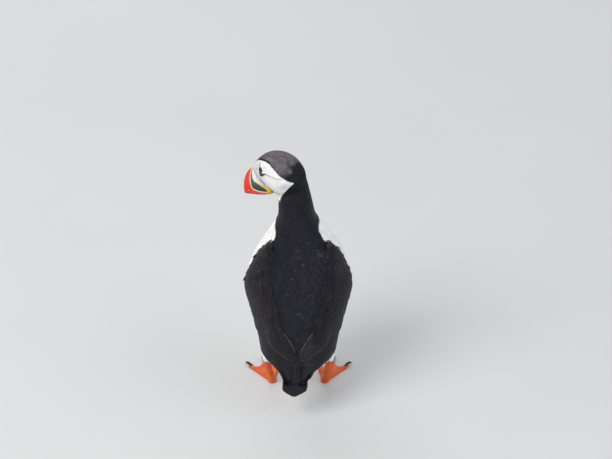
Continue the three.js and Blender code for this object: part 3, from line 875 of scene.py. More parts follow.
# %% [markdown]
# ## The bill
#
# The bill is two horny shells that meet along the mouth. Each is narrow at its edge and full near
# the mouth, so a section is a quarter sine from edge to mouth, mirrored. In summer its front is
# red with curved grooves, then comes a cream ridge shaped like an arrowhead, a slate-grey field
# behind it, and a warty yellow strip against the face. The same distances that colour these
# zones also raise the ridges and sink the grooves, so paint and shape cannot drift apart.

# %% Bill lines and zones
RIDGE = [(-0.2, -1.4), (-2.8, 4.6), (-7.0, 10.4), (-12.5, 15.6), (-19, 19.4), (-27.5, 21.8)]
MOUTH = [(-0.6, -1.8), (-5.5, -0.2), (-13, 1.4), (-21, 1.2), (-32, -1.0), (-44, -4.6)]
KEEL = [(-2.2, -2.6), (-7, -4.0), (-14, -6.2), (-23, -8.4), (-33, -9.4), (-44, -9.2)]
BILL_HALF, BILL_FLARE, RIDGE_HALF, MOUTH_GAP = 7.6, 4.2, 1.5, 0.3
# The cream ridge: x by height on the upper shell, and height by x on the lower one.
CHEVRON_UPPER = [(1.0, -17.3), (4.5, -17.5), (8.3, -19.3), (12.3, -20.9), (15.9, -22.5),
                 (19.2, -24.9), (22.5, -27.2)]
CHEVRON_LOWER = [(-40.4, -5.6), (-33.7, -4.9), (-25.9, -3.2), (-19.9, -0.4), (-17.3, 1.6)]
# Where the slate field ends and the warty strip begins: x by height.
STRIP_FROM = [(-6, -41.5), (-2.4, -39.3), (-0.4, -37.8), (3.6, -34.2), (6.8, -30.5), (9.5, -27.4),
              (12.9, -26.3), (16, -26.2), (19, -27.0), (23, -28.4)]
# Grooves across the red: distance in front of the cream ridge, and depth, in mm.
GROOVES = [(4.6, 0.34), (8.2, 0.30), (11.4, 0.2)]
GROOVE_HALF = 0.5
NOSTRIL_AT, NOSTRIL_HALF, NOSTRIL_SLANT = (-28.5, 2.6), (2.3, 0.45), 0.12
# The rounded ridge takes this share of a section's fall from its edge to the mouth.
RIM_SHARE = 0.1
HORN = {
    "red": linear(220, 34, 8),
    "orange": linear(234, 66, 10),
    # Painted shadow: a brownish red for the lower front of the bill and for its grooves.
    "wear_and_painted_light": linear(150, 62, 38),
    "cream": linear(222, 222, 192),
    # The slates' greenish cast is a painted reflection of green surroundings; the real slate is
    # blue-grey.
    "slate": linear(88, 104, 94),
    "slate_dark": linear(36, 40, 32),
    "yellow": linear(226, 200, 84),
    "yellow_worn": linear(128, 102, 48),
}


def hump(distance, width):
    """A bell curve, 1 at distance zero."""
    return np.exp(-(distance / width) ** 2)


def bill_zones(x, z, upper):
    """How far a point is in front of the cream ridge, and behind the start of the strip."""
    if upper:
        ahead = x - along_line(z, CHEVRON_UPPER)
    else:
        ahead = np.maximum(x - CHEVRON_LOWER[-1][0], along_line(x, CHEVRON_LOWER) - z)
    return ahead, along_line(z, STRIP_FROM) - x


def groove_at(ahead, z, groove):
    """1 along a groove and 0 away from it; the grooves lean back a little with height."""
    return hump(ahead - groove - 0.04 * z, GROOVE_HALF)


def nostril(x, z):
    """1 in the slit of the nostril, 0 away from it: a long bell curve times a narrow one."""
    along = x - NOSTRIL_AT[0]
    return hump(along, NOSTRIL_HALF[0]) * hump(z - NOSTRIL_AT[1] - along * NOSTRIL_SLANT, NOSTRIL_HALF[1])


def bill_relief(x, z, upper):
    """Height over the smooth shell in mm: the cream ridge, grooves in the red, warts on the
    strip, and a slit nostril low on the slate."""
    ahead, behind = bill_zones(x, z, upper)
    relief = 0.32 * hump(ahead, 0.9) - 0.18 * hump(ahead - 1.7, 0.5)
    for groove, depth in GROOVES:
        relief = relief - depth * groove_at(ahead, z, groove)
    relief = relief + 0.04 * np.sin(ahead * 7.0) * (ahead > 1.5)
    warts = 0.5 + 0.5 * np.sin(x * 3.1 + 1.2 * np.sin(z * 2.3)) * np.sin(z * 2.9 + x)
    relief = relief + soft_step(behind, -0.3, 0.6) * (0.35 + 0.35 * warts)
    return relief - 0.55 * nostril(x, z) if upper else relief


def bill_colour(x, z, upper):
    """Red in front, cream along the ridge, slate behind it, and a strip at the base that is
    yellow below and white above."""
    ahead, behind = bill_zones(x, z, upper)
    blotch = 0.5 + 0.5 * np.sin(x * 1.7 + 2 * np.sin(z * 1.1)) * np.sin(z * 1.9 - x * 0.7)
    red = mix(HORN["red"], HORN["orange"], 0.55 * blotch + 0.3 * hump(ahead - 3, 3))
    # Painted shadow: the lower front of the red turns brownish, in blotches.
    wear_and_painted_light = hump(x + 4, 4.5) * hump(z + 2.6, 3.0) * (0.35 + 0.5 * blotch)
    red = mix(red, HORN["wear_and_painted_light"], wear_and_painted_light)
    # Painted shade in each groove.
    for groove, _ in GROOVES:
        red = mix(red, HORN["wear_and_painted_light"], 0.35 * groove_at(ahead, z, groove))
    low = soft_step(-z, -13, -1) * (0.75 + 0.25 * blotch)
    slate = mix(HORN["slate"], HORN["slate_dark"], low)
    if upper:
        slate = mix(slate, 0.1 * HORN["slate_dark"], nostril(x, z))
    colour = mix(slate, red, soft_step(ahead, 0.5, 1.1))
    cream = hump(np.maximum(0, np.abs(ahead + 0.1) - 0.55), 0.35)
    colour = mix(colour, HORN["cream"], 0.95 * cream)
    strip = mix(HORN["yellow"], HORN["yellow_worn"], 0.7 * soft_step(blotch, 0.55, 0.9))
    strip = mix(strip, PLUMAGE["white"], soft_step(z, 7.0, 10.0))
    strip = mix(strip, PLUMAGE["white"], soft_step(behind, 4.4, 5.2))
    return mix(colour, strip, soft_step(behind, -0.35, 0.35))


def bill_shell(edge, fullness, upper, rings=150, half_columns=40):
    """One shell: at each place a line falls from the edge to the mouth, and the section swells
    from a narrow ridge as the sine of how far it has fallen. Returns points and colours."""
    place = np.linspace(0, len(MOUTH) - 1, rings)[:, None]
    rim = smooth_line(edge, place[:, 0])[:, None]
    lip = smooth_line(MOUTH, place[:, 0])[:, None]
    down = lip - rim
    height = np.linalg.norm(down, axis=-1, keepdims=True)
    down = down / height
    share = place / (len(MOUTH) - 1)
    half = (BILL_HALF * np.minimum(1, share ** 0.62 + 0.06)
            + BILL_FLARE * np.maximum(0, (share - 0.55) / 0.45) ** 1.6)
    ridge = np.minimum(half, RIDGE_HALF * (0.45 + 0.55 * share))
    step = np.linspace(0, 1, half_columns)
    round_rim = np.minimum(1, step / RIM_SHARE) * np.pi / 2
    drop = np.maximum(0, step - RIM_SHARE) / (1 - RIM_SHARE)
    out = np.where(step < RIM_SHARE, ridge * np.sin(round_rim) ** 0.8,
                   ridge + (half - ridge) * np.sin(np.minimum(1, drop * fullness) * np.pi / 2))
    out = out * (1 - 0.05 * drop ** 6)
    crown = 0.35 * np.cos(round_rim)
    fall = (height[..., 0] - MOUTH_GAP / 2) * drop - crown
    flat = rim + down * fall[..., None]
    relief = bill_relief(flat[..., 0], flat[..., 1], upper) * soft_step(step, 0.02, 0.2)
    out = out + relief * soft_step(share, 0.0, 0.08) * (1 - soft_step(drop, 0.93, 1.0))
    left = np.stack([flat[..., 0], out, flat[..., 1]], -1)
    right = (left * (1, -1, 1))[:, :0:-1]
    grid = np.concatenate([left, right], 1)
    points, faces = closed_tube(from_head(grid))
    flat = to_head(points)
    return points, faces, bill_colour(flat[:, 0], flat[:, 2], upper)


# %% Horn, skin and eye finishes
def painted(name, rough_low, rough_high, grain, depth, variation, gloss):
    """Colours from the points with a fine grain: for horn, claws and bare skin."""
    material, tree, shader = new_material(name)
    cloud = noise(tree, grain * 0.18, 4, 0.6)
    point_coloured(tree, shader, ranged(tree, cloud, 0.3, 0.7, 1 - variation, 1 + variation))
    bumped(tree, shader, noise(tree, grain, 4, 0.65), 0.5, depth)
    roughened(tree, shader, grain * 0.4, rough_low, rough_high)
    shader.inputs["Specular IOR Level"].default_value = 0.3
    shader.inputs["Coat Weight"].default_value = gloss
    shader.inputs["Coat Roughness"].default_value = 0.25
    return material


# Each finish: lowest and highest roughness, grain in waves per metre and its depth in metres,
# how much the colour varies, and the gloss.
BILL_HORN = painted("bill horn", 0.34, 0.50, 1400, 0.00012, 0.10, 0.04)
GAPE_SKIN = painted("gape skin", 0.42, 0.60, 2200, 0.00025, 0.12, 0.05)
CLAW_HORN = painted("claw horn", 0.25, 0.42, 1600, 0.00010, 0.20, 0.2)
PLATE_HORN = painted("eye plate horn", 0.36, 0.52, 2400, 0.00012, 0.16, 0.1)
WET_EYE = painted("wet eye", 0.03, 0.06, 900, 0.000004, 0.04, 0.6)

for name, edge, fullness, upper in (("bill_upper_shell", RIDGE, 1.5, True),
                                    ("bill_lower_shell", KEEL, 1.25, False)):
    points, faces, colours = bill_shell(edge, fullness, upper)
    shell = add_piece(name, points, faces, [BILL_HORN], "bill")
    add_colours(shell, colours)
    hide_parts("bill_upper" if upper else "bill_lower")
    print(name, len(faces), "triangles")

# %% [markdown]
# ## Eyes, lids and gape
#
# A puffin's eye looks small and three-cornered, because a red ring of lid holds it and two
# blue-grey horny plates frame it: a pointed one above and a bar below. The plates lie on the
# curve of the cheek, so they are drawn in its plane and lifted off the head form. At the corner
# of the mouth sits a yellow rosette of folded skin.

# %% Eye, lid, plates and rosette
EYE_AT, EYE_RADIUS, EYE_SUNK = np.array([-48.2, 10.8, 18.0]), 4.8, 0.2
EYE_MIDDLE = EYE_AT[1] - EYE_SUNK  # how far the middle of the ball stands out to the side
PUPIL_RADIUS, IRIS_RADIUS = 1.5, 2.3
LID_RADIUS, LID_THICK, LID_CORNERS = 2.75, 0.45, math.radians(80)
UPPER_PLATE_AT, UPPER_PLATE_HEIGHT = (-46.9, 23.9), 0.6
LOWER_PLATE_AT, LOWER_PLATE_HEIGHT, LOWER_PLATE_SLANT = (-48.2, 14.9), 1.1, math.radians(1)
ROSETTE_AT, ROSETTE_HALF = np.array([-42.2, 10.9, -4.9]), (3.0, 2.0, 2.2)
ROSETTE_SLANT = math.radians(40)


def cheek_out(x, z):
    """How far the head form stands out at x and z: the section there is solved for across."""
    flat = np.stack([x.ravel(), np.zeros(x.size), z.ravel()], -1)
    place, _, radius = form_place(HEAD, from_head(flat))
    half = smooth_line(HEAD.girth, place)[:, 0] / MM
    inside = np.maximum(0, 1 - np.minimum(radius, 1) ** HEAD.fullness)
    return (half * inside ** (1 / HEAD.fullness)).reshape(x.shape)


def cheek_pad(side, outline_x, outline_z, centre, height):
    """A pad that follows the cheek: rings shrink from its outline to its centre, domed by one
    minus the fourth power of the ring, and a sunk copy of the outline closes it below."""
    ring = np.concatenate([np.linspace(0.04, 1, 22), [1.0]])[:, None]
    x, z = centre[0] + outline_x * ring, centre[1] + outline_z * ring
    lift = height * (1 - ring ** 4) - 0.15 + 0 * x
    lift[-1] = -1.2
    points = np.stack([x, side * (cheek_out(x, z) + lift), z], -1)
    return closed_tube(from_head(points))


def from_eye(points):
    """Distance from the middle of the eye in the plane of the cheek, and x and z from it."""
    x, z = (to_head(points)[:, [0, 2]] - EYE_AT[[0, 2]]).T
    return np.hypot(x, z), x, z


def eyeball(side, name):
    """A ball with a black pupil, a brown iris with spokes, and a dark rim."""
    turn = np.arange(64) / 64 * TAU
    tilt = np.linspace(0.02, np.pi - 0.02, 70)[:, None]
    ball = np.stack([EYE_AT[0] + EYE_RADIUS * np.sin(tilt) * np.cos(turn),
                     side * (EYE_MIDDLE + EYE_RADIUS * np.cos(tilt) + 0 * turn),
                     EYE_AT[2] + EYE_RADIUS * np.sin(tilt) * np.sin(turn)], -1)
    points, faces = closed_tube(from_head(ball))
    off, x, z = from_eye(points)
    spokes = 0.5 + 0.5 * np.sin(np.arctan2(z, x) * 17)
    colours = mix(linear(26, 20, 18), linear(58, 44, 36), spokes)
    colours = mix(colours, linear(5, 5, 6), 1 - soft_step(off, PUPIL_RADIUS, PUPIL_RADIUS + 0.25))
    colours = mix(colours, linear(12, 10, 10), soft_step(off, IRIS_RADIUS, IRIS_RADIUS + 0.5))
    ball = add_piece(f"eyeball_{name}", points, faces, [WET_EYE], "eye")
    add_colours(ball, colours)
    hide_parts(f"eye_{name}")


def eyelid(side, name, long_way=96, short_way=22):
    """A ring of lid where the ball has narrowed to the lid's radius: a wrinkled tube, bent round
    into a blunt triangle and joined up both ways."""
    rim = EYE_MIDDLE + math.sqrt(EYE_RADIUS ** 2 - LID_RADIUS ** 2)
    around = np.arange(long_way)[:, None] / long_way * TAU
    tube = np.arange(short_way) * 3 / 64 * TAU
    fold = 1 + 0.10 * np.sin(around * 23) + 0.05 * np.sin(around * 41 + 1)
    radius = LID_RADIUS + 0.25 + LID_THICK * np.cos(tube) * fold
    stretch = 1 + 0.17 * np.cos(3 * (around - LID_CORNERS))
    ring = np.stack([EYE_AT[0] + radius * stretch * np.cos(around),
                     side * (rim - 0.15 + LID_THICK * 0.9 * np.sin(tube) * fold + 0 * around),
                     EYE_AT[2] + radius * stretch * np.sin(around)], -1)
    i, j = np.meshgrid(np.arange(long_way), np.arange(short_way), indexing="ij")
    next_i, next_j = (i + 1) % long_way, (j + 1) % short_way
    a, b = i * short_way + j, i * short_way + next_j
    c, d = next_i * short_way + j, next_i * short_way + next_j
    faces = np.stack([a, b, d, a, d, c], -1).reshape(-1, 3)
    points = from_head(ring.reshape(-1, 3))
    lid = add_piece(f"eyelid_{name}", points, outward(points, faces), [GAPE_SKIN], "rosette")
    off, _, z = from_eye(points)
    red = mix(linear(44, 16, 12), linear(204, 54, 20), soft_step(off, 2.3, 2.9))
    add_colours(lid, mix(red, linear(52, 36, 38), 0.75 * soft_step(z, 0.2, 2.2)))


def eye_plates(side, name):
    """The horny plates: a pale pointed one over the eye and a darker bar below it."""
    loop = np.arange(48) / 48 * TAU
    rise = (np.sin(loop) + 1) / 2
    point_x = 1.3 * np.cos(loop) * (1 - 0.84 * rise ** 0.8) - 0.3 * rise
    long, tall = 4.7 * np.cos(loop), (1.0 + 0.2 * np.cos(loop)) * np.sin(loop)
    c, s = math.cos(LOWER_PLATE_SLANT), math.sin(LOWER_PLATE_SLANT)
    for where, x, z, centre, height, tone in (
            ("upper", point_x, 2.4 * np.sin(loop), UPPER_PLATE_AT, UPPER_PLATE_HEIGHT,
             linear(140, 143, 150)),
            ("lower", long * c - tall * s, long * s + tall * c, LOWER_PLATE_AT,
             LOWER_PLATE_HEIGHT, linear(40, 45, 56))):
        points, faces = cheek_pad(side, x, z, centre, height)
        plate = add_piece(f"plate_{where}_{name}", points, faces, [PLATE_HORN], "horn")
        cloud = 0.5 + 0.5 * ripple(points, 3 * MM, 9)
        add_colours(plate, tone * (0.8 + 0.5 * cloud)[:, None])
        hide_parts(f"eye_plate_{where}_{name}")


def rosette(side, name):
    """Folded skin at the corner of the mouth: a flat cushion with spokes and a central crease."""
    turn = np.arange(80) / 80 * TAU
    tilt = np.linspace(0.03, np.pi - 0.03, 60)[:, None]
    spokes = 0.10 * np.sin(tilt) ** 2 * np.cos(9 * turn + 1.5 * np.sin(3 * tilt))
    folds = 1 + spokes + 0.05 * np.cos(tilt * 14) - 0.25 * hump(tilt, 0.35)
    ball = np.stack([ROSETTE_HALF[0] * np.sin(tilt) * np.cos(turn),
                     ROSETTE_HALF[1] * np.cos(tilt) + 0 * turn,
                     ROSETTE_HALF[2] * np.sin(tilt) * np.sin(turn)], -1) * folds[..., None]
    c, s = math.cos(ROSETTE_SLANT), math.sin(ROSETTE_SLANT)
    x, z = ball[..., 0] * c + ball[..., 2] * s, ball[..., 2] * c - ball[..., 0] * s
    y = side * (ball[..., 1] + ROSETTE_AT[1])
    grid = np.stack([x + ROSETTE_AT[0], y, z + ROSETTE_AT[2]], -1)
    points, faces = closed_tube(from_head(grid))
    piece = add_piece(f"gape_rosette_{name}", points, faces, [GAPE_SKIN], "rosette")
    shade = np.concatenate([folds.ravel(), [1, 1]])
    yellow = mix(linear(196, 120, 20), linear(240, 196, 60), soft_step(shade, 0.88, 1.08))
    add_colours(piece, yellow)
    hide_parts(f"rosette_{name}")


for side, name in ((1, "left"), (-1, "right")):
    eyeball(side, name)
    eyelid(side, name)
    eye_plates(side, name)
    rosette(side, name)
print("eyes, lids, plates and rosettes on both sides")

# %% [markdown]
# ## Claws
#
# A puffin digs its burrow with its claws, so they are strong, curved and worn blunt. Each is a
# tapering tube along a short arc that leaves the toe, with fine growth rings.

# %% Claws
# Past the end of the toe, height and half depth, in mm, from the root of a claw to its tip.
CLAW = [(-3.0, 2.0, 1.2), (-1.2, 2.3, 1.55), (1.2, 2.7, 1.6), (4.2, 2.55, 1.25), (6.4, 1.75, 0.8),
        (7.9, 0.75, 0.28)]
CLAW_FLAT = 0.86


def growth_rings(share, turn):
    """Fine ridges round a claw."""
    return 0.03 * MM * np.sin(share * 90) + 0 * turn


def claw(side, toe, name):
    """A tube whose middle line follows the toe, rises a little and hooks down to the floor."""
    which, angle, length = toe
    ahead = heading(np.array(angle))
    places = []
    for along, height, half in CLAW:
        flat = FOOT[:2] + ahead * (length + along * MM)
        places.append((np.array([*flat, height * MM]), half * CLAW_FLAT, half))
    grid = limb(places, 20, 40, growth_rings)
    grid[..., 2] = np.maximum(grid[..., 2], 0.1 * MM)
    points, faces = closed_tube(mirrored(grid, side))
    piece = add_piece(f"claw_{which}_horn_{name}", points, faces, [CLAW_HORN], "claw")
    share = np.concatenate([np.repeat(np.linspace(0, 1, 40), 20), [0, 1]])
    add_colours(piece, mix(linear(40, 34, 30), linear(20, 17, 16), soft_step(share, 0.2, 0.6)))
    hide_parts(f"claw_{which}_{name}")


for side, name in ((1, "left"), (-1, "right")):
    for toe in TOES:
        claw(side, toe, name)
print(2 * len(TOES), "claws")

# %% [markdown]
# ## Finding a surface
#
# A feather needs a place to grow from and a direction to stand in. A search tree over a piece's
# triangles gives the nearest point of it to any point in space, and the smooth normal there. The
# same tree tells which points are buried in a hard part, where no feather may lie.

# %% Looking up a surface
def surface_tree(piece):
    """A search tree of a piece's faces, with its points and smooth normals."""
    mesh = piece.data
    mesh.calc_loop_triangles()
    triangles = np.empty(len(mesh.loop_triangles) * 3, np.int32)
    mesh.loop_triangles.foreach_get("vertices", triangles)
    triangles = triangles.reshape(-1, 3)
    points = mesh_points(piece)
    normals = np.empty(len(points) * 3, np.float32)
    mesh.vertices.foreach_get("normal", normals)
    tree = BVHTree.FromPolygons(points.tolist(), triangles.tolist())
    return SimpleNamespace(tree=tree, points=points, triangles=triangles,
                           normals=normals.reshape(-1, 3).astype(float))


def on_surface(surface, points):
    """The nearest point of a surface to each point, and the normal there, blended from the
    three corners of the face it lies on by their nearness."""
    found = [surface.tree.find_nearest(point) for point in points.tolist()]
    at = np.array([hit[0] for hit in found])
    corners = surface.triangles[[hit[2] for hit in found]]
    away = np.linalg.norm(surface.points[corners] - at[:, None], axis=-1)
    weight = 1 / (away + 0.1 * MM)
    return at, unit((surface.normals[corners] * weight[..., None]).sum(1))


# A point further than this from a surface is never counted as buried in it.
NEAR_ENOUGH = 8 * MM


def buried(surface, points, margin):
    """Which points lie inside a closed piece, or within a margin outside it. Only near ones
    count: far off a sharp edge the nearest face can look away from a point that is outside."""
    if len(points) == 0:
        return np.zeros(0, bool)
    found = [surface.tree.find_nearest(point) for point in points.tolist()]
    at = np.array([hit[0] for hit in found])
    out = np.array([hit[1] for hit in found])
    near = np.array([hit[3] for hit in found]) < NEAR_ENOUGH
    return near & (((points - at) * out).sum(-1) < margin)


skin_surface = surface_tree(skin)
print("search tree over", len(skin_surface.triangles), "triangles")

# %% [markdown]
# ## Feathers
#
# A contour feather is a small curved blade: narrow at the root, broad near a round tip, with a
# slight roof along its shaft. Particle hair could scatter them, but only plain mesh survives an
# export, and arrays give full control. One function shapes thousands of blades at once: it takes
# each blade's centre line, the directions across and up, and its half width, and returns its
# points. A cross-section is a flat-bottomed roof, so that every feather is a closed thin body.

# %% The blades
def blade_width(share, full_at=0.6):
    """Half width over the length of a blade, from 0 to 1: a quarter sine up to the fullest place,
    then a quarter ellipse down to the tip."""
    rise = 0.32 + 0.68 * np.sin(np.pi / 2 * np.minimum(share / full_at, 1))
    fall = np.clip((share - full_at) / (1 - full_at), 0, 1)
    return rise * np.sqrt(np.maximum(0, 1 - fall ** 2.2))


def blade_faces(count, rings, columns):
    """Triangles of many blades. A ring of a blade has its columns of points over the roof and
    closes straight back under it; the tip is one more point."""
    size = rings * columns + 1
    i, j = np.meshgrid(np.arange(rings - 1), np.arange(columns), indexing="ij")
    a, b = i * columns + j, i * columns + (j + 1) % columns
    walls = np.stack([a, b, b + columns, a, b + columns, a + columns], -1).reshape(-1, 3)
    j = np.arange(columns)
    end = (rings - 1) * columns
    tip = np.stack([end + j, end + (j + 1) % columns, np.full(columns, size - 1)], -1)
    root = np.stack([np.zeros(columns - 2, int), j[2:], j[1:-1]], -1)
    one = np.vstack([walls, tip, root])[:, ::-1]
    return (one[None] + (np.arange(count) * size)[:, None, None]).reshape(-1, 3)


COLUMNS = {3: np.array([-1, 0, 1]), 7: np.array([-1, -0.86, -0.45, 0, 0.45, 0.86, 1])}


def blades(line, across, up, half, columns=3, roof=0.12, cup=0.10, thick=0.10 * MM):
    """Points of many blades, and each point's place on its own blade. Line is blades x (rings +
    1) x 3, its last point the tip. A point of a ring is the line plus across times t times the
    half width, plus up times a roof that falls with the square of t."""
    t = COLUMNS[columns]
    ring = line[:, :-1, None]
    width = half[..., None, None]
    sides = across[..., None, :] * t[:, None] * width
    bow = (roof * (1 - np.abs(t)) - cup * t ** 2) * half[..., None]
    lift = thick * (1 - np.abs(t)) ** 0.5 + bow
    points = ring + sides + up[..., None, :] * lift[..., None]
    count = len(line)
    points = np.concatenate([points.reshape(count, -1, 3), line[:, -1:]], 1)
    share = np.linspace(0, 1, line.shape[1])
    own = np.stack(np.broadcast_arrays((t + 1)[None] / 2, share[:-1, None]), -1).reshape(-1, 2)
    own = np.vstack([own, (0.5, 1.0)])
    return points, np.broadcast_to(own, (count, *own.shape))


# The width of a feather's patch on the unrolled skin, and the angle that makes an edge sharp.
PATCH, SHARP_EDGE = 0.003, math.radians(70)


def add_coat(name, points, own, colours, places, rings, columns, material, drape=None):
    """One coat piece: its blades, their colours, each blade's own map for barbs, and OFBake,
    where every blade is a small patch at its root's place on the unrolled skin. Drape gives
    shading normals, so that small feathers shade as one soft surface."""
    count = len(points)
    size = points.shape[1]
    faces = blade_faces(count, rings, columns)
    piece = add_piece(name, points.reshape(-1, 3), faces, [material], "plumage")
    if drape is None:
        piece.data.set_sharp_from_angle(angle=SHARP_EDGE)
    else:
        piece.data.normals_split_custom_set_from_vertices(drape.reshape(-1, 3))
    add_colours(piece, np.broadcast_to(colours, (count, size, 3)).reshape(-1, 3))
    add_map(piece, "blade", own.reshape(-1, 2))
    patch = places[:, None] + (own - 0.5) * PATCH
    add_map(piece, "OFBake", patch.reshape(-1, 2))
    print(f"{name}: {count} feathers, {len(faces)} triangles")


def bake_place(along, turn):
    """A place on the unrolled skin, kept a patch's width inside the unit square."""
    u = PATCH + (1 - 2 * PATCH) * np.mod(turn, 1)
    v = PATCH + (1 - 2 * PATCH) * along
    return np.stack([u, v], -1)


# %% Rows of roots
def rows_of_roots(form, start, end, row_gap, root_gap, seed):
    """Roots in staggered rows, as on a real bird: rows a gap apart along the form, and in each
    row roots a gap apart round it, with the odd rows shifted by half and all of them jittered."""
    chance = np.random.default_rng(seed)
    fine = np.linspace(start, end, 400)
    middle = form_point(form, fine[:, None], np.radians([[0, 90, 180]]))
    length = np.linalg.norm(np.diff(middle, axis=0), axis=-1).mean(-1)
    travelled = np.concatenate([[0], np.cumsum(length)])
    rows = np.interp(np.arange(0, travelled[-1], row_gap), travelled, fine)
    turn = np.linspace(-np.pi, np.pi, 241)
    places, angles = [], []
    for number, place in enumerate(rows):
        ring = form_point(form, place, turn)
        steps = np.linalg.norm(np.diff(ring, axis=0), axis=-1)
        around = np.concatenate([[0], np.cumsum(steps)])
        count = max(3, round(around[-1] / root_gap))
        shift = 0.5 * (number % 2)
        spots = (np.arange(count) + shift + chance.uniform(-0.3, 0.3, count)) / count
        angles.append(np.interp(np.mod(spots, 1) * around[-1], around, turn))
        step = (rows[1] - rows[0]) * 0.3
        places.append(place + chance.uniform(-step, step, count))
    return np.clip(np.concatenate(places), start, end), np.concatenate(angles)


def flow(form, place, angle, swirl=0.0):
    """The lie of the coat: along the form from front to back, turned by a swirl toward the
    direction of growing angle."""
    step = 0.02
    back = form_point(form, place + step, angle) - form_point(form, place - step, angle)
    aside = form_point(form, place, angle + step) - form_point(form, place, angle - step)
    back, round_it = unit(back), unit(aside)
    return unit(back + round_it * np.asarray(swirl)[..., None])


# Where the rings of a small blade lie along it, how much its shading rounds from side to side,
# and how deep its root is sunk in mm.
BLADE_SHARES = {4: np.array([0, 0.4, 0.72, 0.92, 1]), 5: np.array([0, 0.3, 0.58, 0.8, 0.94, 1])}
ROUNDNESS, ROOT_SUNK = 0.22, 0.25


def contour_feathers(root, lie, length, width, depth, seed, rings=4, loose=0.12, surface=None):
    """Small feathers on the skin. The root is sunk a little, the tip is laid over the skin a
    coat's depth up, and the blade runs between them in a low arch that turns with the skin. On
    another surface, a tip that leaves it is laid on the skin. Returns the blades' points, their
    own places, where the roots stand, and the shading normals."""
    chance = np.random.default_rng(seed)
    count = len(root)
    surface = surface or skin_surface
    at, normal = on_surface(surface, root)
    lie = unit(lie - normal * (lie * normal).sum(-1, keepdims=True))
    sideways = np.cross(normal, lie)
    lie = unit(lie + sideways * chance.normal(0, 0.07, (count, 1)))
    length = length * chance.uniform(0.85, 1.15, count)
    width = width * chance.uniform(0.88, 1.12, count)
    depth = depth * (1 + loose * chance.uniform(-1, 0.6, count))
    goal = at + lie * length[:, None]
    reach, end_normal = on_surface(surface, goal)
    if surface is not skin_surface:
        over = np.linalg.norm(goal - reach, axis=-1) > 0.9 * MM
        over = over | buried(skin_surface, reach, 0.2 * MM)
        if over.any():
            reach[over], end_normal[over] = on_surface(skin_surface, goal[over])
    tip = reach + end_normal * depth[:, None]
    base = at - normal * ROOT_SUNK * MM
    share = BLADE_SHARES[rings]
    line = base[:, None] + (tip - base)[:, None] * share[None, :, None]
    bend = np.sin(np.pi * share ** 0.8) * 0.42
    line = line + normal[:, None] * (depth[:, None] * bend)[..., None]
    curl = chance.normal(0, 0.05, count) * length
    side_bend = (curl[:, None] * share ** 2)[..., None]
    forward = unit(np.gradient(line, axis=1))[:, :-1]
    tilt = (sideways + normal * chance.normal(0, 0.05, (count, 1)))[:, None]
    across = unit(tilt - forward * (tilt * forward).sum(-1, keepdims=True))
    up = np.cross(forward, across)
    line = line + sideways[:, None] * side_bend
    half = width[:, None] / 2 * blade_width(share[:-1])
    soft = unit(normal[:, None] + (end_normal - normal)[:, None] * share[None, :, None])
    sides = across[:, :, None] * COLUMNS[3][:, None] * ROUNDNESS
    drape = unit(soft[:, :-1, None] + sides).reshape(count, -1, 3)
    points, own = blades(line, across, up, half, roof=0.05, cup=0.04, thick=0.08 * MM)
    return points, own, at, np.concatenate([drape, soft[:, -1:]], 1)

# %% [markdown]
# ## The coat
#
# A real coat changes along the body: a velvet of tiny feathers on the face, short ones on the
# neck, and broad ones on the back and breast. Each region below gets its own spacing, length and
# width, and one routine lays them; only the velvet on the base of the bill picks its roots on
# the shell. Roots that fall inside another part are dropped, because they would lie behind the
# skin and not a coat's depth in front of it. So are feathers that would cover a folded wing, or
# touch the bill, the eyes or the gape.

# %% Coat of the body, neck and head
COAT = {}
# How far feathers keep off each hard part, in mm; they may reach a little under the bill.
KEEP_OFF = {"bill_upper_shell": -0.5, "bill_lower_shell": -0.5}
for name in ("left", "right"):
    KEEP_OFF.update({f"eyelid_{name}": 0.9, f"plate_upper_{name}": 0.5,
                     f"plate_lower_{name}": 0.5, f"gape_rosette_{name}": 0.4,
                     f"eyeball_{name}": 0.3})
HARD_PARTS = [(surface_tree(bpy.data.objects[name]), margin * MM)
              for name, margin in KEEP_OFF.items()]
FACE_MIDDLE, FACE_REACH = from_head((-40, 0, 8)), 45 * MM


def clear_of_skin(outline, depth, sunk):
    """Which outline points lie no deeper behind the skin than may be, and no further in front
    of it than the coat allows."""
    at, normal = on_surface(skin_surface, outline)
    height = ((outline - at) * normal).sum(-1)
    return (height > 0.15 * depth - sunk) & (height < 1.6 * depth + 1.2 * MM)


def on_wing(points):
    """Which points belong to a folded wing."""
    place, angle, _ = form_place(BODY, points)
    return within_wing(place, np.abs(angle))


def clear_of_parts(*points):
    """Which feathers keep off the bill, the eyes and the gape: none of their points is buried."""
    keep = np.ones(len(points[0]), bool)
    for some in points:
        near = np.linalg.norm(some - FACE_MIDDLE, axis=-1) < FACE_REACH
        for surface, margin in HARD_PARTS:
            keep[near] &= ~buried(surface, some[near], margin)
    return keep


# One dark feather in twenty, from this body station back, is bleached by the sun.
BLEACHED_SHARE, BLEACHED_FROM = 0.05, 2.4


def feather_tones(points, seed, dark=0.16, light=0.025):
    """The marking at every point of every feather, a little lighter or darker from feather to
    feather, and whether most of the feather's outer half is white."""
    colours, white = coat_colour(points.reshape(-1, 3))
    chance = np.random.default_rng(seed)
    white = white.reshape(points.shape[:2])[:, points.shape[1] // 2:].mean(1) > 0.5
    tone = 1 + chance.normal(0, 1, len(points)) * np.where(white, light, dark)
    tones = colours.reshape(points.shape) * tone[:, None, None]
    below_neck = form_place(BODY, points[:, 0])[0] > BLEACHED_FROM
    bleached = (chance.uniform(0, 1, len(points)) < BLEACHED_SHARE) & below_neck & ~white
    fade = chance.uniform(0.05, 0.3, (bleached.sum(), 1, 1))
    tones[bleached] += (PLUMAGE["bleached"] - tones[bleached]) * fade
    return np.clip(tones, 0, 1), white


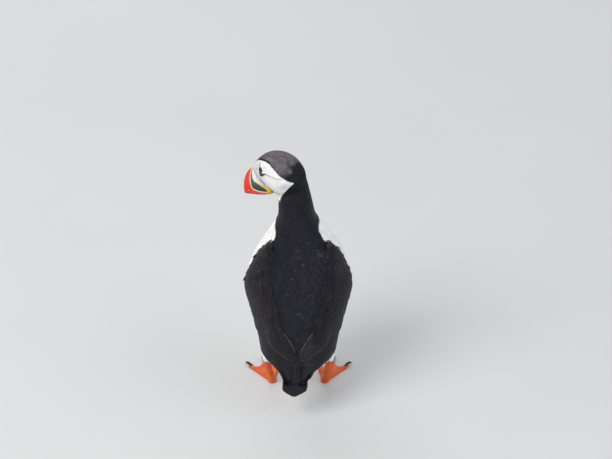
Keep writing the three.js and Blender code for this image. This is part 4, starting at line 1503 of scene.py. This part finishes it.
def lay_region(key, root, lie, length, width, depth, where, seed, rings=4, sunk=0.0,
               off_wing=False):
    """Lays the feathers of one region and keeps them until the pieces are made."""
    keep = clear_of_skin(root, depth, sunk)
    if off_wing:
        keep &= ~on_wing(root) & ~on_wing(root + lie * (0.85 * length)[:, None])
    keep &= clear_of_parts(root, root + lie * (0.8 * length)[:, None])
    kept = (x[keep] for x in (root, lie, length, width, depth))
    points, own, _, drape = contour_feathers(*kept, seed, rings)
    tones, white = feather_tones(points, seed)
    COAT[key] = SimpleNamespace(points=points, own=own, tones=tones, white=white, rings=rings,
                                where=where[keep], drape=drape)
    print(key, len(points), "feathers")


def lay_on_form(key, form, start, end, gap, sizes, depth_line, seed, **options):
    """Rows of feathers on a form. Sizes gives length and width in mm by place."""
    place, angle = rows_of_roots(form, start, end, gap * MM, gap * MM, seed)
    root = form_point(form, place, angle)
    length, width = sizes(place)
    where = bake_place(place / form.last, angle / TAU + 0.5)
    lay_region(key, root, flow(form, place, angle), length * MM, width * MM,
               along_line(place, depth_line) * MM, where, seed, **options)


def body_sizes(place):
    """Longer and broader over the back, breast and belly, and longest over the tail's root."""
    length = along_line(place, [(2.2, 7.0), (3.2, 8.5), (5, 9.5), (8.5, 11), (10, 14)])
    return length, along_line(place, [(2.2, 3.0), (3.2, 3.6), (5, 4.2), (9, 5), (10, 5.5)])


def neck_sizes(place):
    """Short and dense, growing down the neck."""
    length = along_line(place, [(0, 4.0), (1, 4.8), (2.4, 7)])
    return length, along_line(place, [(0, 1.9), (2.4, 3.0)])


def head_sizes(place):
    """Smallest round the bill and on the face, longer over the back of the head."""
    length = along_line(place, [(0, 1.8), (1, 2.2), (3, 2.8), (5, 3.6), (7, 4.4)])
    return length, along_line(place, [(0, 0.9), (1, 1.05), (3, 1.3), (5, 1.6), (7, 1.9)])


lay_on_form("neck", BODY, 0.05, 2.35, 1.15, neck_sizes, COAT_DEPTH, 11, sunk=0.8 * MM)
lay_on_form("body", BODY, 2.3, 10.1, 1.75, body_sizes, COAT_DEPTH, 12, off_wing=True)
lay_on_form("head", HEAD, 0.1, 6.75, 0.66, head_sizes, HEAD_DEPTH, 13, sunk=2.5 * MM)


# Length, width and depth in mm of a velvet feather.
VELVET = (2.6, 1.0, 0.6)


def bill_base_region(shell_name, seed, count):
    """The face's velvet runs forward onto the base of the bill, up to the warty strip: roots
    picked at random among the shell's points behind the strip, all lying backward."""
    chance = np.random.default_rng(seed)
    shell = surface_tree(bpy.data.objects[shell_name])
    flat = to_head(shell.points)
    behind = along_line(flat[:, 2], STRIP_FROM) - flat[:, 0]
    bare = along_line(flat[:, 2], [(-8, 4.6), (4, 5.0), (8, 3.0), (14, 0.6)])
    fits = (behind > bare) & (flat[:, 2] > -7.5) & (flat[:, 0] > -47)
    root = shell.points[chance.permutation(np.flatnonzero(fits))[:count]]
    lie = np.broadcast_to(-FORWARD - 0.25 * UPWARD, root.shape)
    length, width, depth = (np.full(len(root), size * MM) for size in VELVET)
    points, own, at, drape = contour_feathers(root, lie, length, width, depth, seed, 4, 0.2, shell)
    tone = chance.normal(0.985, 0.02, (len(points), 1, 1))
    tones = np.clip(PLUMAGE["white"] * tone * np.ones((*points.shape[:2], 1)), 0, 1)
    flat = to_head(at)
    turn = np.arctan2(flat[:, 1], flat[:, 2]) / TAU + 0.5
    COAT[shell_name] = SimpleNamespace(points=points, own=own, tones=tones, rings=4,
                                       where=bake_place(np.full(len(turn), 0.01), turn),
                                       white=np.ones(len(points), bool), drape=drape)
    print("on", shell_name, len(points), "feathers")


bill_base_region("bill_upper_shell", 31, 900)


def thigh_region(side, seed):
    """Short feathers down the thigh: rings of roots round the limb, each row shifted by half."""
    places = [(THIGH_ROOT, 15, 17), ((THIGH_ROOT + HEEL) / 2, 10.5, 12),
              (HEEL + np.array([-0.6, -0.8, 4]) * MM, 5.6, 6.4)]
    rows, around = 24, 34
    grid = mirrored(limb(places, around, rows), side)
    chance = np.random.default_rng(seed)
    between = (grid + np.roll(grid, 1, 1)) / 2
    grid = np.where((np.arange(rows) % 2 == 0)[:, None, None], grid, between)
    lie = unit(np.gradient(grid, axis=0)).reshape(-1, 3)
    row, turn = np.meshgrid(np.arange(rows) / (rows - 1), np.arange(around) / around, indexing="ij")
    root = grid.reshape(-1, 3) + chance.normal(0, 0.35 * MM, (rows * around, 3))
    fade = 1 - 0.45 * row.ravel()
    lay_region(f"thigh_{side}", root, lie, 8.5 * MM * fade, 4.4 * MM * fade,
               np.full(len(root), 1.6 * MM), bake_place(row.ravel(), turn.ravel()), seed)


for side in (1, -1):
    thigh_region(side, 20 + side)

# %% [markdown]
# A folded wing is a stack. Small coverts shingle the bend, longer ones follow, and under their
# edge come the secondaries. The broad tertials close over them beside the back, and the tips of
# the primaries reach furthest, beside the tail. Long feathers must bend with the body, so their
# centre lines are laid in the wing's own two parameters instead of straight through space.

# %% Wing feathers
def laid_blades(surface, start, end, width, lift, rings, columns=7, point_at=0.62, **shape):
    """Long blades over a surface of two parameters. Start and end are (along, across) places,
    lift goes from the root's height to the tip's, and the frame comes from small steps."""
    share = np.concatenate([np.linspace(0, 1, rings + 1)[:-1] ** 0.9, [1.0]])
    place = start[:, None] + (end - start)[:, None] * share[None, :, None]
    height = lift[:, :1] + (lift[:, 1:] - lift[:, :1]) * share
    line = surface(place[..., 0], place[..., 1], height)
    aside = surface(place[..., 0], place[..., 1] + 0.02, height)
    forward = unit(np.gradient(line, axis=1))[:, :-1]
    across = (aside - line)[:, :-1]
    across = unit(across - forward * (across * forward).sum(-1, keepdims=True))
    up = np.cross(forward, across)
    out = surface(place[..., 0], place[..., 1], height + 1 * MM)[:, :-1] - line[:, :-1]
    turned = np.sign((up * out).sum(-1, keepdims=True))
    across, up = across * turned, up * turned
    half = width[:, None] / 2 * blade_width(share[:-1], point_at)
    return blades(line, across, up, half, columns, **shape)


def wing_region(side, start, end, gap, seed):
    """Staggered places on the wing: rows a gap apart along it, roots a gap apart across it."""
    chance = np.random.default_rng(seed)
    fine = np.linspace(start, end, 200)
    travelled = np.concatenate([[0], np.cumsum(np.linalg.norm(
        np.diff(wing_point(side, fine, 0.0, 0.0), axis=0), axis=-1))])
    rows = np.interp(np.arange(0, travelled[-1], gap), travelled, fine)
    found = []
    for number, row in enumerate(rows):
        across = np.linspace(-1, 1, 60)
        wide = np.linalg.norm(np.diff(wing_point(side, row, across, 0.0), axis=0), axis=-1).sum()
        count = max(2, round(wide / gap))
        shift = 0.5 * (number % 2 - 0.5)
        spots = np.arange(count) + 0.5 + shift + chance.uniform(-0.15, 0.15, count)
        near = row + chance.uniform(-0.35, 0.35, count) * (rows[1] - rows[0])
        found.append(np.stack([near, spots / count * 2 - 1], -1))
    return np.clip(np.vstack(found), (start, -0.98), (end, 0.98))


def edge_tones(base, own, edge, strength):
    """Colours over a blade: pale edges and a slightly paler tip."""
    rim = soft_step(np.abs(own[..., 0] - 0.5), 0.44, 0.5) * soft_step(own[..., 1], 0.1, 0.4)
    tip = soft_step(own[..., 1], 0.95, 1.0) * 0.5
    share = np.clip(np.maximum(rim, tip) * strength, 0, 1)[..., None]
    return base * (1 - share) + edge * share


LONG = {}
# The three rows of small coverts: first and last place on the wing, gap between roots, length
# from the front row to the last, and width likewise, in mm.
COVERTS = [("lesser_coverts", 0.0, 2.7, 2.6, (7, 9.5), (4.4, 5.6)),
           ("middle_coverts", 2.5, 3.9, 3.4, (9.5, 12), (5.6, 6.8)),
           ("median_coverts", 3.7, 4.75, 4.6, (12, 15), (7.0, 8.4))]


def lifts(count, root, tip):
    """Heights in mm over the wing's outline for the roots and the tips of some feathers."""
    return np.stack([np.full(count, root), np.zeros(count) + tip], -1) * MM


def wing_surface(side):
    """The outline of one wing as a surface of two parameters, raised by a lift."""
    def surface(row, across, lift):
        return wing_point(side, row, across, wing_lift(row, np.clip(across, -0.93, 0.93)) + lift)
    return surface


def small_coverts(side, name, chance, seed):
    """The shingled coverts of the bend: scattered roots, blades that grow toward the tip."""
    for number, (key, first, last, gap, length, width) in enumerate(COVERTS):
        spots = wing_region(side, first, last, gap * MM, seed + number + 1)
        row, across = spots.T
        count = len(row)
        share = (row - first) / (last - first)
        long = length[0] + (length[1] - length[0]) * share
        wide = (width[0] + (width[1] - width[0]) * share) * MM
        here = wing_point(side, row, across, 0)
        speed = np.linalg.norm(wing_point(side, row + 0.1, across, 0) - here, axis=-1) / 0.1
        reach = long * MM / speed * chance.uniform(0.85, 1.15, count)
        aside = np.clip(across * 0.98 + chance.normal(0, 0.03, count), -1.0, 1.0)
        end = np.stack([row + reach, aside], -1)
        lift = np.stack([np.full(count, -1.6 * MM), chance.uniform(-0.25, 0.0, count) * MM], -1)
        points, own = laid_blades(wing_surface(side), spots, end, wide, lift, 6)
        # Brownish wear in patches on the coverts, partly painted highlights on the bend of the wing.
        wear_and_painted_light = np.clip(0.12 + 0.5 * ripple(here, 22 * MM, 5), 0, 0.5)
        tone = mix(PLUMAGE["quill"], PLUMAGE["wear_and_painted_light"], wear_and_painted_light)[:, None]
        tone = tone * chance.normal(1, 0.12, (count, 1, 1))
        tones = np.clip(edge_tones(tone, own, PLUMAGE["quill_edge"], 0.10), 0, 1)
        where = bake_place(row / WING_LAST, (across + 1) / 2)
        LONG[f"{key}_{name}"] = (points, own, tones, where, 6, 7)


def flight_feathers():
    """The long feathers of a wing, from the front down: for each group its roots and tips on the
    wing, width, lift, rings, and how pale its edges are."""
    share = (np.arange(9) + 0.5) / 9
    start = np.stack([4.5 + 0.2 * np.sin(share * 3), share * 1.9 - 0.95], -1)
    yield ("greater_coverts", start, start + (1.15, -0.05), np.full(9, 10.5) * MM,
           lifts(9, -1.5, -0.4), 12, 0.14)

    share = (np.arange(12) + 0.5) / 12
    start = np.stack([np.full(12, 4.9), share * 1.9 - 0.95], -1)
    end = np.stack([8.15 + 0.9 * (1 - share), share * 1.84 - 0.92], -1)
    yield ("secondaries", start, end, np.full(12, 12.5) * MM,
           lifts(12, -1.6, -0.7 - 0.4 * share), 18, 0.16)

    share = np.arange(8) / 7
    start = np.stack([np.full(8, 6.0), 0.92 - 0.8 * share], -1)
    end = np.stack([9.0 + 1.95 * share ** 0.8, 0.78 - 0.75 * share], -1)
    yield ("primaries", start, end, (8.5 + 1.5 * share) * MM,
           lifts(8, -1.9, -1.3 + 0.2 * share), 20, 0.12)

    share = np.arange(4) / 3
    start = np.stack([4.9 + 0.1 * share, -0.80 + 0.36 * share], -1)
    end = np.stack([8.45 - 1.2 * share, -0.78 + 0.36 * share], -1)
    yield ("tertials", start, end, (14 - 1.5 * share) * MM,
           lifts(4, -0.6, 0.5 - 0.3 * share), 18, 0.6)


def wing_feathers(side, name, seed):
    """All feathers of one folded wing, from the coverts down to the primaries."""
    chance = np.random.default_rng(seed)
    small_coverts(side, name, chance, seed)
    for key, start, end, width, lift, rings, edge in flight_feathers():
        points, own = laid_blades(wing_surface(side), start, end, width, lift, rings)
        tone = PLUMAGE["quill"] * chance.normal(1, 0.10, (len(points), 1, 1))
        tones = np.clip(edge_tones(tone, own, PLUMAGE["quill_edge"], edge), 0, 1)
        where = bake_place(start[:, 0] / WING_LAST, (start[:, 1] + 1) / 2)
        LONG[f"{key}_{name}"] = (points, own, tones, where, rings, 7)


for side, name in ((1, "left"), (-1, "right")):
    wing_feathers(side, name, 40 + side)
    print("wing", name, sum(len(LONG[key][0]) for key in LONG if key.endswith(name)), "feathers")


# Shoulder feathers on each side; golden steps spread their roots evenly without rows.
SCAPULAR_COUNT, GOLDEN_STEP = 190, 0.618034


def scapulars(seed):
    """The shoulder feathers that close the gap between back and wing: roots spread along the
    wing's upper border by golden steps, lying higher toward the back."""
    chance = np.random.default_rng(seed)
    count = SCAPULAR_COUNT
    for side in (1, -1):
        here = 3.05 + (np.arange(count) + chance.uniform(0, 1, count)) / count * 4.0
        spot = np.mod(np.arange(count) * GOLDEN_STEP, 1)
        angle = np.interp(here, WING[:, 0], WING[:, 1]) + np.radians(2 - 19 * spot)
        root = form_point(BODY, here, side * angle, 0.6 * MM)
        grow = soft_step(here, 3.0, 4.6)
        swirl = side * chance.normal(0.05, 0.04, count)
        lay_region(f"scapular_{side}", root, flow(BODY, here, side * angle, swirl),
                   (8.5 + 5 * grow) * MM, (5 + 2.4 * grow) * MM, (2.3 + 1.2 * spot) * MM,
                   bake_place(here / BODY.last, side * angle / TAU + 0.5), seed + side, rings=5)


scapulars(60)

# %% Tail feathers
TAIL_COUNT = 16


def tail_point(place, across, lift):
    """The flat fan of the tail: the middle of each section, out to its width, with a lift."""
    place, across, lift = np.broadcast_arrays(*(np.asarray(x, float) for x in (place, across, lift)))
    middle, rise, _, half, shift = form_rings(BODY, place)
    flat = middle + rise * (lift - 0.12 * half * across ** 2 * 0.6)[..., None]
    return np.concatenate([(shift + half * across)[..., None], flat], -1)


def tail_feathers(seed):
    """Sixteen stiff feathers, the middle pair on top and longest."""
    chance = np.random.default_rng(seed)
    spot = (np.arange(TAIL_COUNT) + 0.5) / TAIL_COUNT * 2 - 1
    from_middle = np.abs(spot)
    start = np.stack([np.full(TAIL_COUNT, 9.35), spot * 0.55], -1)
    back = 11.92 - 0.7 * from_middle ** 1.6 - chance.uniform(0, 0.06, TAIL_COUNT)
    end = np.stack([back, spot * 0.84], -1)
    lift = np.stack([1.0 * MM - 1.6 * MM * from_middle, 0.9 * MM - 2.4 * MM * from_middle], -1)
    width = np.full(TAIL_COUNT, 7.4 * MM)
    points, own = laid_blades(tail_point, start, end, width, lift, 14, point_at=0.66, roof=0.2,
                              thick=0.22 * MM)
    tone = chance.normal(1, 0.08, (TAIL_COUNT, 1, 1))
    tones = np.clip(edge_tones(PLUMAGE["tail"] * tone, own, PLUMAGE["quill_edge"], 0.25), 0, 1)
    where = bake_place((start[:, 0] - 9) / 3.2, (spot + 1) / 2)
    LONG["tail_feathers"] = (points, own, tones, where, 14, 7)


tail_feathers(70)
print(sum(len(blade[0]) for blade in LONG.values()), "long feathers")

# %% [markdown]
# Every tract so far is only arrays. Now they become pieces: the regions are cut by marking, so
# that dark and white plumage each keep a finish of their own.

# %% Make the coat pieces
def make_pieces(name, keys, material, choose=None):
    """Joins regions with the same blade layout into one piece."""
    regions = [COAT[key] for key in keys]
    picks = [np.ones(len(r.points), bool) if choose is None else choose(r) for r in regions]
    rings = regions[0].rings
    points, own, tones, where, drape = (
        np.concatenate([getattr(r, field)[pick] for r, pick in zip(regions, picks)])
        for field in ("points", "own", "tones", "where", "drape"))
    return add_coat(name, points, own, tones, where, rings, 3, material, drape)


make_pieces("coat_neck", ["neck"], DARK_PLUMAGE, lambda r: ~r.white)
make_pieces("coat_throat_sides", ["neck"], FACE_PLUMAGE, lambda r: r.white)
make_pieces("coat_back", ["body"], DARK_PLUMAGE, lambda r: ~r.white)
make_pieces("coat_breast", ["body"], WHITE_PLUMAGE, lambda r: r.white)
make_pieces("coat_bill_base", ["bill_upper_shell"], FACE_PLUMAGE)
make_pieces("coat_cap", ["head"], CROWN_PLUMAGE, lambda r: ~r.white)
make_pieces("coat_face", ["head"], FACE_PLUMAGE, lambda r: r.white)
make_pieces("coat_thighs", ["thigh_1", "thigh_-1"], WHITE_PLUMAGE)
make_pieces("coat_scapulars", ["scapular_1", "scapular_-1"], DARK_PLUMAGE)
for key, (points, own, tones, where, rings, columns) in LONG.items():
    add_coat(key, points, own, tones, where, rings, columns, QUILL_PLUMAGE)

# %% [markdown]
# ## Stage, light and camera
#
# A museum model is looked at on a plain pale floor in soft light. One broad lamp from the left
# and above models the form, a weaker one opens the shadows, and a pale sky fills the rest. The
# camera stands behind the bird, well above it, far away with a long lens, so that nothing is
# foreshortened.

# %% Floor and lights
FLOOR_HALF, LAMP_AIM = 4.0, (0, 0, 0.12)


def plain_floor():
    """A pale matt floor with the faintest unevenness."""
    material, tree, shader = new_material("plain floor")
    tone = node(tree, "ValToRGB", {"Fac": noise(tree, 3, 4)})
    tone.color_ramp.elements[0].color = grey(0.58)
    tone.color_ramp.elements[1].color = grey(0.64)
    tree.links.new(tone.outputs["Color"], shader.inputs["Base Color"])
    bump = node(tree, "Bump", {"Height": noise(tree, 700, 3), "Strength": 0.05, "Distance": 0.0003})
    tree.links.new(bump.outputs["Normal"], shader.inputs["Normal"])
    tree.links.new(ranged(tree, noise(tree, 20), 0, 1, 0.75, 0.9), shader.inputs["Roughness"])
    half = FLOOR_HALF
    corners = np.array([(-half, -half, 0), (half, -half, 0), (half, half, 0), (-half, half, 0)])
    floor = add_piece("floor", corners, [(0, 1, 2, 3)], [material], smooth=False)


def soft_lamp(name, place, size, power, warmth):
    """A square lamp that faces the bird."""
    lamp = bpy.data.lights.new(name, "AREA")
    lamp.shape, lamp.size, lamp.energy, lamp.color = "SQUARE", size, power, warmth
    holder = bpy.data.objects.new(name, lamp)
    holder.location = place
    aim = Vector(LAMP_AIM) - holder.location
    holder.rotation_euler = aim.to_track_quat("-Z", "Y").to_euler()
    bpy.context.scene.collection.objects.link(holder)


plain_floor()
soft_lamp("key lamp", (1.3, 0.9, 1.7), 1.4, 34, (1.0, 0.985, 0.96))
soft_lamp("fill lamp", (-1.6, 0.6, 1.1), 1.8, 12, (0.95, 0.975, 1.0))
soft_lamp("front lamp", (0.4, -1.8, 1.2), 1.6, 12, (1.0, 1.0, 1.0))
world = bpy.data.worlds.new("pale room")
world.use_nodes = True
sky = world.node_tree.nodes["Background"]
sky.inputs["Color"].default_value = (0.93, 0.96, 1.0, 1)
sky.inputs["Strength"].default_value = 0.55
bpy.context.scene.world = world
bpy.context.scene.view_settings.view_transform = "Standard"

# %% Camera
CAMERA_RISE = math.radians(32)
CAMERA_AWAY = 4.0
FRAME_WIDE = 0.612
AIM = Vector((-0.0076, -0.0392, 0.1553))


def place_camera():
    """Behind the bird and above it: the frame is 0.612 m wide at the body's distance."""
    camera = bpy.data.cameras.new("camera")
    camera.sensor_width = 36.0
    camera.lens = camera.sensor_width * CAMERA_AWAY / FRAME_WIDE
    camera.clip_end = 40
    holder = bpy.data.objects.new("camera", camera)
    back = Vector((0, math.cos(CAMERA_RISE), math.sin(CAMERA_RISE)))
    holder.location = AIM + back * CAMERA_AWAY
    holder.rotation_mode = "QUATERNION"
    holder.rotation_quaternion = (-back).to_track_quat("-Z", "Y")
    bpy.context.scene.collection.objects.link(holder)
    bpy.context.scene.camera = holder
    print("lens", round(camera.lens), "mm at", [round(x, 3) for x in holder.location])


place_camera()
